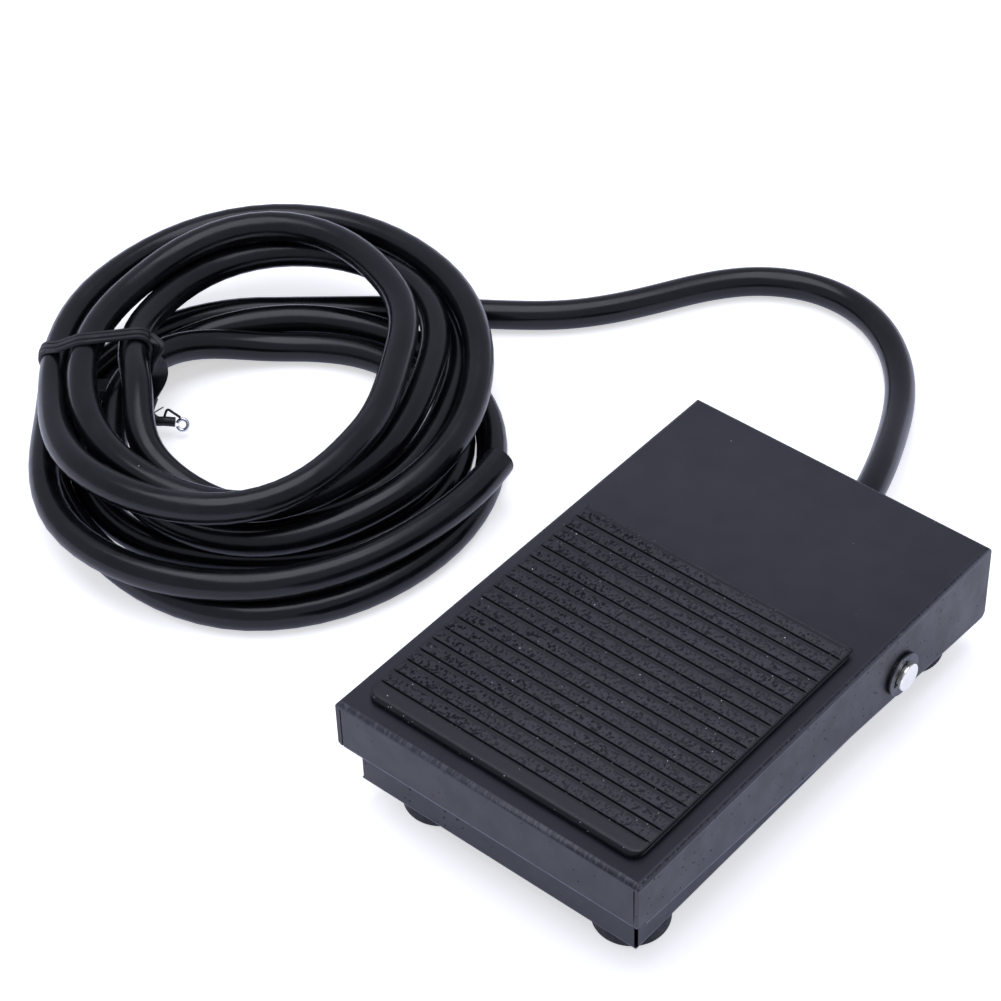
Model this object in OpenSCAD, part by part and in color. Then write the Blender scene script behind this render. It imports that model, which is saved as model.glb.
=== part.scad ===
// Foot pedal switch: a folded steel cover that swings on a cross pin over a steel tray,
// held up by a spring and pressing a small snap-action switch.
// Millimetres. Z = 0 is the floor, +X points right along the pin, +Y to the rear.

/* [Pedal cover] */
// Width of the cover across the side skirts
pedal_w = 65; // [60:1:80]
// Length of the cover from front flange to rear flange
pedal_l = 100; // [96:1:120]
// Height of the cover's top above the underside of the tray
cover_rise = 20; // [19:0.1:23]
// Sheet thickness of the cover
cover_t = 0.9; // [0.8:0.1:1.4]
// Outer radius of the cover's folds
cover_bend = 1.1; // [1:0.1:2.5]
// Depth of the skirts at the front
front_drop = 10.3; // [9:0.1:11.5]
// Depth of the skirts at the rear
rear_drop = 17; // [16:0.1:17.5]
// Radius of the skirt's lower rear corner
skirt_corner = 1.3; // [0.8:0.1:5]
// Bevel on the lower corners of the front flange
flange_bevel = 0.5; // [0.3:0.1:1.1]
// Width of the open seam at each folded corner of the cover
cover_seam = 0.25; // [0.2:0.05:0.6]

/* [Tread pad] */
// Width of the pad
pad_w = 58; // [50:0.5:59]
// Length of the pad
pad_l = 59.2; // [40:0.1:70]
// Distance from the cover's front to the pad's front
pad_setback = 3.7; // [2.5:0.1:8]
// Height of the pad over its ribs
pad_h = 1.7; // [1.2:0.1:3]
// Depth of the grooves between ribs
groove_depth = 0.4; // [0.3:0.1:0.9]
// Distance from one rib to the next
rib_pitch = 3.25; // [2.5:0.05:5]
// Flat margin of the pad beside the rib ends
rib_margin = 0.4; // [0.3:0.1:3]
// Radius of the pad's corners
pad_corner = 2.2; // [0.5:0.1:5]

/* [Base tray] */
// Step from the cover's outside to the tray's outside
tray_inset = 2.5; // [2:0.1:4]
// Sheet thickness of the tray
tray_t = 0.9; // [0.8:0.1:1.4]
// Outer radius of the tray's folds
tray_bend = 1; // [0.9:0.1:2]
// Width of the open seam at each folded corner of the tray
tray_seam = 0.6; // [0.3:0.05:1]
// Width of each stop tab on the rear wall
stop_w = 11; // [6:0.5:13]
// Distance of a stop tab from the tray's side
stop_edge = 3.5; // [3:0.5:5]

/* [Feet] */
// Diameter of a foot
foot_d = 13.6; // [11:0.1:16]
// Height of a foot
foot_h = 3.8; // [3.5:0.1:8]
// Distance from the cover's front or rear to a foot's centre
foot_from_end = 10.2; // [10:0.1:16]
// Half the distance between the feet on the left and those on the right
foot_spread = 20.8; // [18:0.1:21.5]
// Step of the feet to the right of the tray's middle
foot_shift = 2.1; // [0:0.1:2.5]
// Rounding of the foot's lower edge
foot_round = 1.2; // [0.5:0.1:2.5]
// Thread diameter of the foot screws
foot_screw_d = 3; // [2.5:0.1:3.5]

/* [Pivot] */
// Diameter of the pivot pin
pin_d = 5.3; // [4:0.1:6]
// Distance from the cover's rear to the pin's axis
pin_from_rear = 27; // [25:0.5:29]
// Depth of the pin's axis below the cover's top
pin_drop = 10; // [9.5:0.1:10.5]
// Length of pin that stands out past the clip
pin_tip = 1.1; // [0.8:0.1:3]
// Outer diameter of the retaining clip
clip_d = 8.4; // [8:0.1:10]
// Thickness of the retaining clip
clip_t = 0.5; // [0.4:0.1:1.2]
// Diameter of the pin at the clip groove
pin_groove_d = 3.8; // [3:0.1:3.9]
// Radius of metal round the pin in the tray's ear
ear_r = 5.4; // [5:0.1:6]
// Largest swing of the cover
press_angle = 3.2; // [2:0.1:3.5]

/* [Switch] */
// Length of the switch case
case_l = 19.8; // [19:0.1:22]
// Thickness of the switch case
case_t = 6.4; // [6:0.1:7]
// Height of the switch case
case_h = 9.3; // [8.8:0.1:9.6]
// Distance between the case's screw holes
case_hole_pitch = 9.5; // [9:0.1:10.5]
// Height of the screw holes above the case's underside
case_hole_z = 2.6; // [2.4:0.1:3]
// Thread diameter of the switch screws
case_screw_d = 2; // [1.6:0.1:2.2]
// Distance from the pin's axis forward to the plunger
plunger_arm = 20; // [17:0.5:22]
// Distance of the plunger behind the middle of the case
plunger_shift = 3; // [1:0.5:4]
// Height of the plunger above the case at rest
plunger_proud = 1.1; // [0.9:0.1:1.3]
// Length of the terminals below the case
term_len = 3.4; // [3:0.1:3.8]
// Distance between neighbouring terminals
term_pitch = 7.6; // [6:0.1:8]
// Sheet thickness of the switch bracket
bracket_t = 1; // [0.8:0.1:1.2]
// Diameter of the striker under the cover
striker_d = 5; // [4:0.1:6]

/* [Return spring] */
// Distance from the cover's front to the spring's axis
spring_from_front = 20; // [18:0.5:24]
// Wire diameter of the spring
spring_wire = 1.1; // [0.8:0.1:1.3]
// Diameter of the spring at the middle of its wire
spring_d = 9; // [8:0.1:11]
// Number of turns that work
spring_turns = 5; // [3:1:7]
// Height of the spring's post
post_h = 4; // [2:0.5:6]

/* [Cable] */
// Diameter of the cable
cable_d = 6; // [5.5:0.1:7]
// Wall of the clamp's loop, which also lifts the cable off the tray
clamp_wall = 1.75; // [1.6:0.05:2.1]
// Width of the clamp along the cable
clamp_w = 6; // [4:0.5:7]
// Wall of the grommet between cable and tray
grommet_wall = 1.05; // [0.8:0.05:1.1]
// Width of the grommet's flanges past the tray's hole
grommet_lip = 1.5; // [1:0.1:1.7]
// Length of the grommet's tapered nose
grommet_nose = 6; // [3:0.5:12]
// Diameter of one insulated core
core_d = 1.6; // [1.2:0.1:1.7]

/* [Coil of cable] */
// Outer radius of the coil
coil_r_out = 52; // [48:1:58]
// Inner radius of the coil
coil_r_in = 27; // [24:1:32]
// Height of the coil
coil_h = 23; // [18:1:28]
// Width of the tie's band
tie_w = 3; // [2:0.5:6]
// Thickness of the tie's band
tie_t = 0.8; // [0.5:0.1:1.2]

/* [Hidden] */

$fn = 64;
// Gap of pieces that are fixed to each other, running clearance of the pin, gap of moving faces
fit_gap = 0.02;
pin_run = 0.05;
face_gap = 0.3;
// Room kept between the pressed cover and the tray's walls
press_gap = 0.9;
// Overshoot of a cutting shape past the face it cuts
over = 1;

// Levels
floor_z = foot_h + tray_t;
top_z = foot_h + cover_rise;
under_z = top_z - cover_t;
pin_y = pedal_l / 2 - pin_from_rear;
pin_z = top_z - pin_drop;

// Cover
cover_inner_bend = max(0.2, cover_bend - cover_t);
skirt_slope = atan((rear_drop - front_drop) / pedal_l);

// Tray
tray_w = pedal_w - 2 * tray_inset;
tray_l = pedal_l - 2 * tray_inset;
tray_inner_bend = max(0.2, tray_bend - tray_t);
tray_wall_z = under_z - (pin_y + tray_l / 2) * tan(press_angle) - press_gap;
stop_z = under_z - face_gap;

// Pad
pad_y = -pedal_l / 2 + pad_setback;
groove_z = top_z + pad_h - groove_depth;
front_rib_min = 3.5;
rib_count = floor((pad_l - front_rib_min) / rib_pitch);
groove_land = 0.04 * rib_pitch;
rib_ramp = 0.35 * rib_pitch;
rib_ramp_drop = 0.15 * groove_depth;

// Feet
foot_y = pedal_l / 2 - foot_from_end;
foot_recess_z = 0.55 * foot_h;
foot_recess_r = foot_screw_d * 1.2;
screw_head_r = foot_screw_d * 0.95;
screw_head_h = foot_screw_d * 0.6;
nut_h = foot_screw_d * 0.8;
nut_r = foot_screw_d;
thread_past_nut = 0.6;

// Pin and clips
clip_x = pedal_w / 2 + face_gap;
pin_half = clip_x + clip_t + pin_tip;
pin_chamfer = 0.12;
groove_r = pin_groove_d / 2;
clip_open_angle = -42;
clip_relief_r = pin_d / 2 + 0.2;
clip_relief_x = 0.56 * clip_relief_r;
clip_relief_y = sqrt(clip_relief_r * clip_relief_r - clip_relief_x * clip_relief_x);
clip_key_r = 0.35;

// Switch
switch_y = pin_y - plunger_arm - plunger_shift;
plunger_y = pin_y - plunger_arm;
term_clear = 0.6;
case_z = floor_z + term_clear + term_len;
case_top = case_z + case_h;
plunger_travel = plunger_arm * tan(press_angle);
plunger_guide = 2;
plunger_l = 3;
plunger_t = 2.4;
plunger_slip = 0.1;
plunger_top = case_top + plunger_proud;
case_round = 0.8;
term_t = 0.5;
term_w = 2.8;
striker_z = plunger_top + face_gap;
striker_tip = 0.6;
bracket_l = case_hole_pitch + 8;
bracket_h = term_clear + term_len + case_hole_z + 3;
bracket_foot = 10;
bracket_x = case_t / 2;
rivet_d = 3;
rivet_x = bracket_x + bracket_t + 5;
rivet_pitch = case_hole_pitch;
rivet_head_h = 1.2;
rivet_tail_h = 0.8;

// Spring
spring_y = -pedal_l / 2 + spring_from_front;
cup_t = 0.8;
cup_rim = 2;
cup_gap = 0.7;
cup_r = (spring_d + spring_wire) / 2 + cup_gap;
spring_seat = 0.05;
spring_low = floor_z + spring_wire / 2 + spring_seat;
spring_high = under_z - cup_t - spring_wire / 2 - spring_seat;
spring_lead = 1.15 * spring_wire;
spring_steps = 14;
post_r = (spring_d - spring_wire) / 2 - 0.8;
post_shank_r = 2;

// Cable
cable_r = cable_d / 2;
cable_z = floor_z + clamp_wall + cable_r;
wall_y = tray_l / 2;
grommet_hole_r = cable_r + grommet_wall;
grommet_flange_r = grommet_hole_r + grommet_lip;
grommet_flange_t = 1.2;
exit_y = wall_y + grommet_flange_t + grommet_nose;
notch_r = grommet_flange_r + 1;
tail_end_y = pin_y + pin_d / 2 + 7;
clamp_y = tail_end_y + 2 + clamp_w / 2;
clamp_foot = cable_r + clamp_wall + 7;
clamp_screw_x = cable_r + clamp_wall + 3.6;
clamp_screw_d = 3;
core_row = core_d + 0.15;
core_sides = 8;
core_lane = core_d + 0.5;
core_z = floor_z + core_d / 2 + 0.7;

// The cable's way from the grommet's nose to the coil: right, rearward of the exit, share of its height there
cord_sides = 10;
lead_way = [
    [0, 0, 1], [0, 4, 1], [-3.9, 15.3, 0.82], [-8.2, 24.9, 0.48], [-12.5, 33.6, 0.17], [-17.5, 42, 0.02],
    [-24.1, 49.5, 0], [-32.6, 55.2, 0], [-42.4, 57.5, 0], [-52.1, 55.8, 0], [-60.6, 50.5, 0], [-67, 42.6, 0],
    [-71.9, 33.8, 0], [-77.1, 25.3, 0], [-83.5, 17.7, 0], [-91.4, 11.6, 0], [-99.6, 6, 0], [-108, 0.3, 0],
    [-116, -5.7, 0]
];
lead_route = [for (p = lead_way) [p[0], exit_y + p[1], cable_r + p[2] * (cable_z - cable_r)]];
coil_x = -106;
coil_ahead = 46.7;
coil_y = exit_y - coil_ahead;
coil_round = 9;
tie_angle = 211;
tie_r = 32;
tie_z = 16.5;
tie_span = 25;
tie_rise = 15;
tie_round = 6;

// Flat shapes

// A rectangle about the origin with round corners
module round_square(size, r) {
    square([size[0] - 2 * r, size[1]], center = true);
    square([size[0], size[1] - 2 * r], center = true);
    for (x = [-1, 1], y = [-1, 1])
        translate([x * (size[0] / 2 - r), y * (size[1] / 2 - r)])
            circle(r);
}

// A section with a flat foot and two round upper corners, standing on the X axis
module cap_section(w, h, r) {
    translate([-w / 2, 0])
        square([w, h - r]);
    translate([r - w / 2, 0])
        square([w - 2 * r, h]);
    for (x = [-1, 1])
        translate([x * (w / 2 - r), h - r])
            circle(r);
}

// Solids from flat shapes

// Takes a flat shape drawn in Y and Z along X
module along_x(length) {
    rotate([90, 0, 90])
        linear_extrude(length, center = true)
            children();
}

// Takes a flat shape drawn in X and Z along Y
module along_y(length) {
    rotate([90, 0, 0])
        linear_extrude(length, center = true)
            children();
}

module rod_x(d, length) {
    rotate([0, 90, 0])
        cylinder(d = d, h = length, center = true);
}

module rod_y(d, length) {
    rotate([90, 0, 0])
        cylinder(d = d, h = length, center = true);
}

// A block whose four upper edges are folds that meet at its corners
module folded_block(w, l, h, r) {
    intersection() {
        along_y(l + 2 * over)
            cap_section(w, h, r);
        along_x(w + 2 * over)
            cap_section(l, h, r);
    }
}

// Runs its children once for each foot
module at_feet() {
    for (x = [-1, 1], y = [-1, 1])
        translate([foot_shift + x * foot_spread, y * foot_y, 0])
            children();
}

// A hexagon nut with a plain bore, standing on the XY plane
module nut(thread_d, r, h) {
    difference() {
        cylinder(r = r, h = h, $fn = 6);
        translate([0, 0, -over])
            cylinder(d = thread_d + 2 * fit_gap, h = h + 2 * over);
    }
}

// A screw that hangs down from a head whose underside is at the XY plane
module pan_screw(thread_d, length, head_r, head_h) {
    slot_w = 0.3 * thread_d;
    difference() {
        cylinder(r = head_r, h = head_h);
        for (a = [0, 90])
            rotate([0, 0, a])
                translate([-0.6 * head_r, -slot_w / 2, 0.5 * head_h])
                    cube([1.2 * head_r, slot_w, head_h]);
    }
    translate([0, 0, -length])
        cylinder(d = thread_d, h = length + 0.1 * head_h);
}

// Sweeps

function unit(v) = v / norm(v);
function heading(p, i) = unit(p[min(i + 1, len(p) - 1)] - p[max(i - 1, 0)]);
function ring(centre, ahead, r, n) =
    let (side = unit(cross(ahead, [0, 0, 1])), up = cross(side, ahead))
    [for (k = [0 : n - 1]) centre + r * (cos(360 * k / n) * side + sin(360 * k / n) * up)];

// A round tube along a row of points, closed at both ends
module tube(path, r, n) {
    last = len(path) - 1;
    points = [for (i = [0 : last]) each ring(path[i], heading(path, i), r, n)];
    near_cap = [[for (k = [0 : n - 1]) k]];
    far_cap = [[for (k = [n - 1 : -1 : 0]) last * n + k]];
    walls = [
        for (i = [0 : last - 1], k = [0 : n - 1])
            let (j = (k + 1) % n, a = i * n, b = (i + 1) * n)
            each [[a + k, b + k, b + j], [a + k, b + j, a + j]]
    ];
    polyhedron(points, concat(near_cap, far_cap, walls));
}

// Pieces that swing

// Outline of the cover seen from the side, with the sloping skirt and its round rear corner
module cover_outline() {
    front = -pedal_l / 2;
    rear = pedal_l / 2;
    round_y = rear - skirt_corner;
    round_z = top_z - rear_drop + skirt_corner * (tan(skirt_slope) + 1 / cos(skirt_slope));
    difference() {
        polygon([
            [front - over, top_z + over], [front - over, top_z - front_drop], [front, top_z - front_drop],
            [rear, top_z - rear_drop], [rear + over, top_z - rear_drop], [rear + over, top_z + over]
        ]);
        difference() {
            translate([round_y, round_z - 2 * skirt_corner])
                square([skirt_corner + 2 * over, 2 * skirt_corner]);
            translate([round_y, round_z])
                circle(skirt_corner);
        }
    }
}

module cover_seams() {
    seam_x = pedal_w / 2 - cover_t - cover_seam;
    for (y = [-1, 1])
        for (x = [-seam_x - cover_seam, seam_x])
            translate([x, y * (pedal_l / 2 - cover_t / 2) - cover_t, 0])
                cube([cover_seam, 2 * cover_t, top_z - cover_bend - cover_seam]);
}

module pedal_cover() {
    depth = rear_drop + over;
    inner_depth = depth - cover_t + over;
    color("#2b2c31")
        difference() {
            intersection() {
                translate([0, 0, top_z - depth])
                    folded_block(pedal_w, pedal_l, depth, cover_bend);
                along_x(pedal_w + 2 * over)
                    cover_outline();
            }
            translate([0, 0, under_z - inner_depth])
                folded_block(pedal_w - 2 * cover_t, pedal_l - 2 * cover_t, inner_depth, cover_inner_bend);
            translate([0, pin_y, pin_z])
                rod_x(pin_d + 2 * pin_run, pedal_w + 2 * over);
            cover_seams();
            // Bevelled lower corners of the front flange
            for (x = [-1, 1])
                translate([x * pedal_w / 2, -pedal_l / 2, top_z - front_drop])
                    rotate([0, 45, 0])
                        cube([flange_bevel * sqrt(2), 4 * cover_t, flange_bevel * sqrt(2)], center = true);
            // Open notch for the cable in the rear flange
            translate([0, pedal_l / 2, cable_z])
                rod_y(2 * notch_r, 4 * cover_t);
            translate([-notch_r, pedal_l / 2 - 2 * cover_t, 0])
                cube([2 * notch_r, 4 * cover_t, cable_z]);
        }
}

// Section of the ribs from the rear edge to the front strip: land, ramp, worn top, steep front
function rib_section() = [
    [pad_y, top_z], [pad_y + pad_l, top_z],
    for (i = [0 : rib_count])
        let (
            rear = pad_y + pad_l - i * rib_pitch,
            front = i < rib_count ? rear - rib_pitch : pad_y
        )
        each [
            [rear, groove_z], [rear - groove_land, groove_z],
            [rear - groove_land - rib_ramp, top_z + pad_h - rib_ramp_drop], [front, top_z + pad_h]
        ]
];

module tread_pad() {
    color("#202125")
        intersection() {
            translate([0, pad_y + pad_l / 2, top_z])
                linear_extrude(pad_h + over)
                    round_square([pad_w, pad_l], pad_corner);
            union() {
                translate([-pad_w / 2 - over, pad_y - over, top_z])
                    cube([pad_w + 2 * over, pad_l + 2 * over, pad_h - groove_depth]);
                along_x(pad_w - 2 * rib_margin)
                    polygon(rib_section());
            }
        }
}

module striker() {
    color("#b9bcc2")
        translate([0, plunger_y, striker_z]) {
            cylinder(d1 = striker_d - 2 * striker_tip, d2 = striker_d, h = striker_tip);
            translate([0, 0, striker_tip])
                cylinder(d = striker_d, h = under_z - striker_z - striker_tip);
        }
}

module spring_cup() {
    color("#b9bcc2")
        translate([0, spring_y, under_z - cup_t - cup_rim])
            difference() {
                cylinder(r = cup_r + cup_t, h = cup_t + cup_rim);
                translate([0, 0, -over])
                    cylinder(r = cup_r, h = cup_rim + over);
            }
}

// Pieces of the base

// Outline of the tray seen from the side: the walls, the ears round the pin and the rear stops
module tray_outline() {
    translate([-tray_l / 2 - over, foot_h - over])
        square([tray_l + 2 * over, tray_wall_z - foot_h + over]);
    translate([pin_y - ear_r, foot_h])
        square([2 * ear_r, pin_z - foot_h]);
    translate([pin_y, pin_z])
        circle(ear_r);
    translate([tray_l / 2 - tray_t, foot_h])
        square([tray_t + over, stop_z - foot_h]);
}

module tray_holes() {
    depth = tray_t + 2 * over;
    at_feet()
        translate([0, 0, foot_h - over])
            cylinder(d = foot_screw_d + 2 * fit_gap, h = depth);
    for (y = [-1, 1])
        translate([rivet_x, switch_y + y * rivet_pitch / 2, foot_h - over])
            cylinder(d = rivet_d + 2 * fit_gap, h = depth);
    translate([0, spring_y, foot_h - over])
        cylinder(r = post_shank_r + fit_gap, h = depth);
    translate([clamp_screw_x, clamp_y, foot_h - over])
        cylinder(d = clamp_screw_d + 2 * fit_gap, h = depth);
    translate([0, pin_y, pin_z])
        rod_x(pin_d + 2 * fit_gap, tray_w + 2 * over);
    translate([0, wall_y - tray_t / 2, cable_z])
        rod_y(2 * grommet_hole_r, depth);
}

module tray_seams() {
    seam_x = tray_w / 2 - tray_t - tray_seam;
    for (y = [-1, 1])
        for (x = [-seam_x - tray_seam, seam_x])
            translate([x, y * (tray_l / 2 - tray_t / 2) - tray_t, floor_z])
                cube([tray_seam, 2 * tray_t, top_z]);
}

module base_tray() {
    height = stop_z - foot_h;
    stop_in = tray_w / 2 - stop_edge - stop_w;
    color("#2b2c31")
        difference() {
            intersection() {
                translate([0, 0, stop_z])
                    mirror([0, 0, 1])
                        folded_block(tray_w, tray_l, height, tray_bend);
                along_x(tray_w + 2 * over)
                    tray_outline();
            }
            translate([0, 0, stop_z + over])
                mirror([0, 0, 1])
                    folded_block(tray_w - 2 * tray_t, tray_l - 2 * tray_t, height - tray_t + over, tray_inner_bend);
            tray_holes();
            tray_seams();
            // The rear wall is lower between the stops and beside them
            translate([-stop_in, wall_y - 2 * tray_t, tray_wall_z])
                cube([2 * stop_in, 4 * tray_t, height]);
            for (x = [-tray_w / 2 - over, tray_w / 2 - stop_edge])
                translate([x, wall_y - 2 * tray_t, tray_wall_z])
                    cube([stop_edge + over, 4 * tray_t, height]);
        }
}

module foot_section() {
    difference() {
        union() {
            translate([0, foot_round])
                square([foot_d / 2, foot_h - foot_round]);
            square([foot_d / 2 - foot_round, foot_h]);
            translate([foot_d / 2 - foot_round, foot_round])
                circle(foot_round);
        }
        translate([-over, -over])
            square([foot_recess_r + over, foot_recess_z + over]);
        translate([-over, 0])
            square([foot_screw_d / 2 + fit_gap + over, foot_h + over]);
    }
}

module rubber_feet() {
    color("#1b1b1e")
        at_feet()
            rotate_extrude()
                foot_section();
}

module foot_screws() {
    length = floor_z + nut_h + thread_past_nut - foot_recess_z;
    color("#c3c6cb")
        at_feet()
            translate([0, 0, foot_recess_z])
                rotate([180, 0, 0])
                    pan_screw(foot_screw_d, length, screw_head_r, screw_head_h);
}

module foot_nuts() {
    color("#c3c6cb")
        at_feet()
            translate([0, 0, floor_z])
                nut(foot_screw_d, nut_r, nut_h);
}

// Half section of the pin: radius across, place along the pin upwards
function pin_section() =
    let (r = pin_d / 2, near = clip_x - fit_gap, far = clip_x + clip_t + fit_gap)
    [
        [0, -pin_half], [r - pin_chamfer, -pin_half], [r, pin_chamfer - pin_half],
        [r, -far], [groove_r, -far], [groove_r, -near], [r, -near],
        [r, near], [groove_r, near], [groove_r, far], [r, far],
        [r, pin_half - pin_chamfer], [r - pin_chamfer, pin_half], [0, pin_half]
    ];

module pivot_pin() {
    color("#d5d7da")
        translate([0, pin_y, pin_z])
            rotate([0, 90, 0])
                rotate_extrude()
                    polygon(pin_section());
}

// A spring-steel ring open on one side, whose two lobes reach into the groove
module clip_shape() {
    mouth = 1.7 * groove_r;
    difference() {
        circle(d = clip_d);
        circle(groove_r + fit_gap);
        // Relief of the ring's back, with a round hole at each end
        difference() {
            circle(clip_relief_r);
            translate([-clip_relief_x, -clip_relief_r - over])
                square(2 * (clip_relief_r + over));
        }
        for (y = [-1, 1])
            translate([-clip_relief_x, y * clip_relief_y])
                circle(clip_key_r);
        translate([0, -mouth / 2])
            square([clip_d, mouth]);
    }
}

module retaining_clips() {
    color("#3a3b40")
        for (x = [clip_x + clip_t / 2, -clip_x - clip_t / 2])
            translate([x, pin_y, pin_z])
                along_x(clip_t)
                    rotate(clip_open_angle)
                        clip_shape();
}

// The snap-action switch and its bracket

module bracket_section() {
    bend = 1.5 * bracket_t;
    translate([bracket_x, floor_z + bend])
        square([bracket_t, bracket_h - bend]);
    translate([bracket_x + bend, floor_z])
        square([bracket_foot - bend, bracket_t]);
    difference() {
        translate([bracket_x + bend, floor_z + bend])
            circle(bend);
        translate([bracket_x + bend, floor_z + bend])
            circle(bend - bracket_t);
        translate([bracket_x + bend, floor_z])
            square([bend, 2 * bend]);
        translate([bracket_x, floor_z + bend])
            square([2 * bend, bend]);
    }
}

module switch_bracket() {
    color("#c3c6cb")
        difference() {
            translate([0, switch_y, 0])
                along_y(bracket_l)
                    bracket_section();
            for (y = [-1, 1]) {
                translate([bracket_x, switch_y + y * case_hole_pitch / 2, case_z + case_hole_z])
                    rod_x(case_screw_d + 2 * fit_gap, 4 * bracket_t);
                translate([rivet_x, switch_y + y * rivet_pitch / 2, floor_z - over])
                    cylinder(d = rivet_d + 2 * fit_gap, h = bracket_t + 2 * over);
            }
        }
}

module bracket_rivets() {
    tail_z = foot_h - rivet_tail_h;
    head_z = floor_z + bracket_t;
    color("#c3c6cb")
        for (y = [-1, 1])
            translate([rivet_x, switch_y + y * rivet_pitch / 2, 0]) {
                translate([0, 0, tail_z])
                    cylinder(r = 0.75 * rivet_d, h = rivet_tail_h);
                translate([0, 0, tail_z])
                    cylinder(d = rivet_d, h = head_z - tail_z + 0.5 * rivet_head_h);
                translate([0, 0, head_z])
                    cylinder(r1 = 0.85 * rivet_d, r2 = 0.6 * rivet_d, h = rivet_head_h);
            }
}

module switch_case() {
    pocket = plunger_travel + plunger_guide;
    color("#26262a")
        difference() {
            translate([0, switch_y, case_z + case_h / 2])
                along_x(case_t)
                    round_square([case_l, case_h], case_round);
            for (y = [-1, 1])
                translate([0, switch_y + y * case_hole_pitch / 2, case_z + case_hole_z])
                    rod_x(case_screw_d + 2 * fit_gap, case_t + 2 * over);
            translate([0, plunger_y, case_top - pocket / 2 + over / 2])
                cube([plunger_t + 2 * plunger_slip, plunger_l + 2 * plunger_slip, pocket + over], center = true);
        }
}

module switch_plunger() {
    height = plunger_guide - plunger_slip + plunger_proud;
    color("#b5372e")
        translate([0, plunger_y, plunger_top - height])
            along_x(plunger_t)
                cap_section(plunger_l, height, 0.5 * plunger_proud);
}

module switch_terminals() {
    color("#c9b27a")
        for (i = [-1, 0, 1])
            translate([-term_t / 2, switch_y + i * term_pitch - term_w / 2, case_z - term_len])
                cube([term_t, term_w, term_len]);
}

module at_switch_screws() {
    for (y = [-1, 1])
        translate([0, switch_y + y * case_hole_pitch / 2, case_z + case_hole_z])
            children();
}

module switch_screws() {
    length = case_t + bracket_t + case_screw_d;
    color("#c3c6cb")
        at_switch_screws()
            translate([-case_t / 2, 0, 0])
                rotate([0, -90, 0])
                    pan_screw(case_screw_d, length, 0.95 * case_screw_d, 0.6 * case_screw_d);
}

module switch_nuts() {
    color("#c3c6cb")
        at_switch_screws()
            translate([bracket_x + bracket_t, 0, 0])
                rotate([0, 90, 0])
                    nut(case_screw_d, case_screw_d, 0.7 * case_screw_d);
}

// The return spring

// Height of the wire after a number of turns, with one closed turn at each end
function spring_rise(turn) =
    let (open_rise = spring_high - spring_low - 2 * spring_lead)
    turn < 1 ? spring_lead * turn
    : turn > spring_turns + 1 ? spring_lead + open_rise + spring_lead * (turn - spring_turns - 1)
    : spring_lead + open_rise * (turn - 1) / spring_turns;

module return_spring() {
    path = [
        for (i = [0 : (spring_turns + 2) * spring_steps])
            let (turn = i / spring_steps)
            [
                spring_d / 2 * cos(360 * turn), spring_y + spring_d / 2 * sin(360 * turn),
                spring_low + spring_rise(turn)
            ]
    ];
    color("#c3c6cb")
        tube(path, spring_wire / 2, 8);
}

module spring_post() {
    color("#c3c6cb")
        translate([0, spring_y, 0]) {
            translate([0, 0, floor_z])
                cylinder(r = post_r, h = post_h - 1);
            translate([0, 0, floor_z + post_h - 1])
                cylinder(r1 = post_r, r2 = post_r - 1, h = 1);
            translate([0, 0, foot_h])
                cylinder(r = post_shank_r, h = tray_t + 0.5);
        }
}

// The cable's way in

// Half section of the grommet: radius across, place along the cable upwards from the wall's inside
module grommet_section() {
    outer = tray_t + grommet_flange_t;
    difference() {
        union() {
            translate([0, -grommet_flange_t])
                square([grommet_flange_r, grommet_flange_t]);
            translate([0, -grommet_flange_t])
                square([grommet_hole_r - fit_gap, outer + grommet_flange_t]);
            translate([0, tray_t])
                square([grommet_flange_r, grommet_flange_t]);
            polygon([
                [0, outer], [grommet_hole_r, outer],
                [cable_r + 0.6 * grommet_wall, outer + grommet_nose], [0, outer + grommet_nose]
            ]);
        }
        translate([-over, -grommet_flange_t - over])
            square([cable_r + fit_gap + over, outer + grommet_nose + grommet_flange_t + 2 * over]);
    }
}

module cable_grommet() {
    inside_y = wall_y - tray_t;
    color("#18181a")
        difference() {
            translate([0, inside_y, cable_z])
                rotate([-90, 0, 0])
                    rotate_extrude()
                        grommet_section();
            // Flat of the inner flange over the tray's fold
            translate([-grommet_flange_r, inside_y - 2 * grommet_flange_t, 0])
                cube([2 * grommet_flange_r, 2 * grommet_flange_t, floor_z + tray_inner_bend + fit_gap]);
        }
}

module cable_clamp() {
    color("#e6e4dc")
        difference() {
            union() {
                translate([0, clamp_y, cable_z])
                    rod_y(cable_d + 2 * clamp_wall, clamp_w);
                translate([0, clamp_y - clamp_w / 2, floor_z])
                    cube([clamp_foot, clamp_w, clamp_wall]);
            }
            translate([0, clamp_y, cable_z])
                rod_y(cable_d + 2 * fit_gap, clamp_w + 2 * over);
            translate([clamp_screw_x, clamp_y, floor_z - over])
                cylinder(d = clamp_screw_d + 2 * fit_gap, h = clamp_wall + 2 * over);
        }
}

module clamp_screw() {
    color("#c3c6cb")
        translate([clamp_screw_x, clamp_y, floor_z + clamp_wall])
            pan_screw(clamp_screw_d, clamp_wall + tray_t + over, 0.95 * clamp_screw_d, 0.6 * clamp_screw_d);
}

module cable_tail() {
    color("#141416")
        translate([0, (tail_end_y + exit_y) / 2, cable_z])
            rod_y(cable_d, exit_y - tail_end_y);
}

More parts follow.
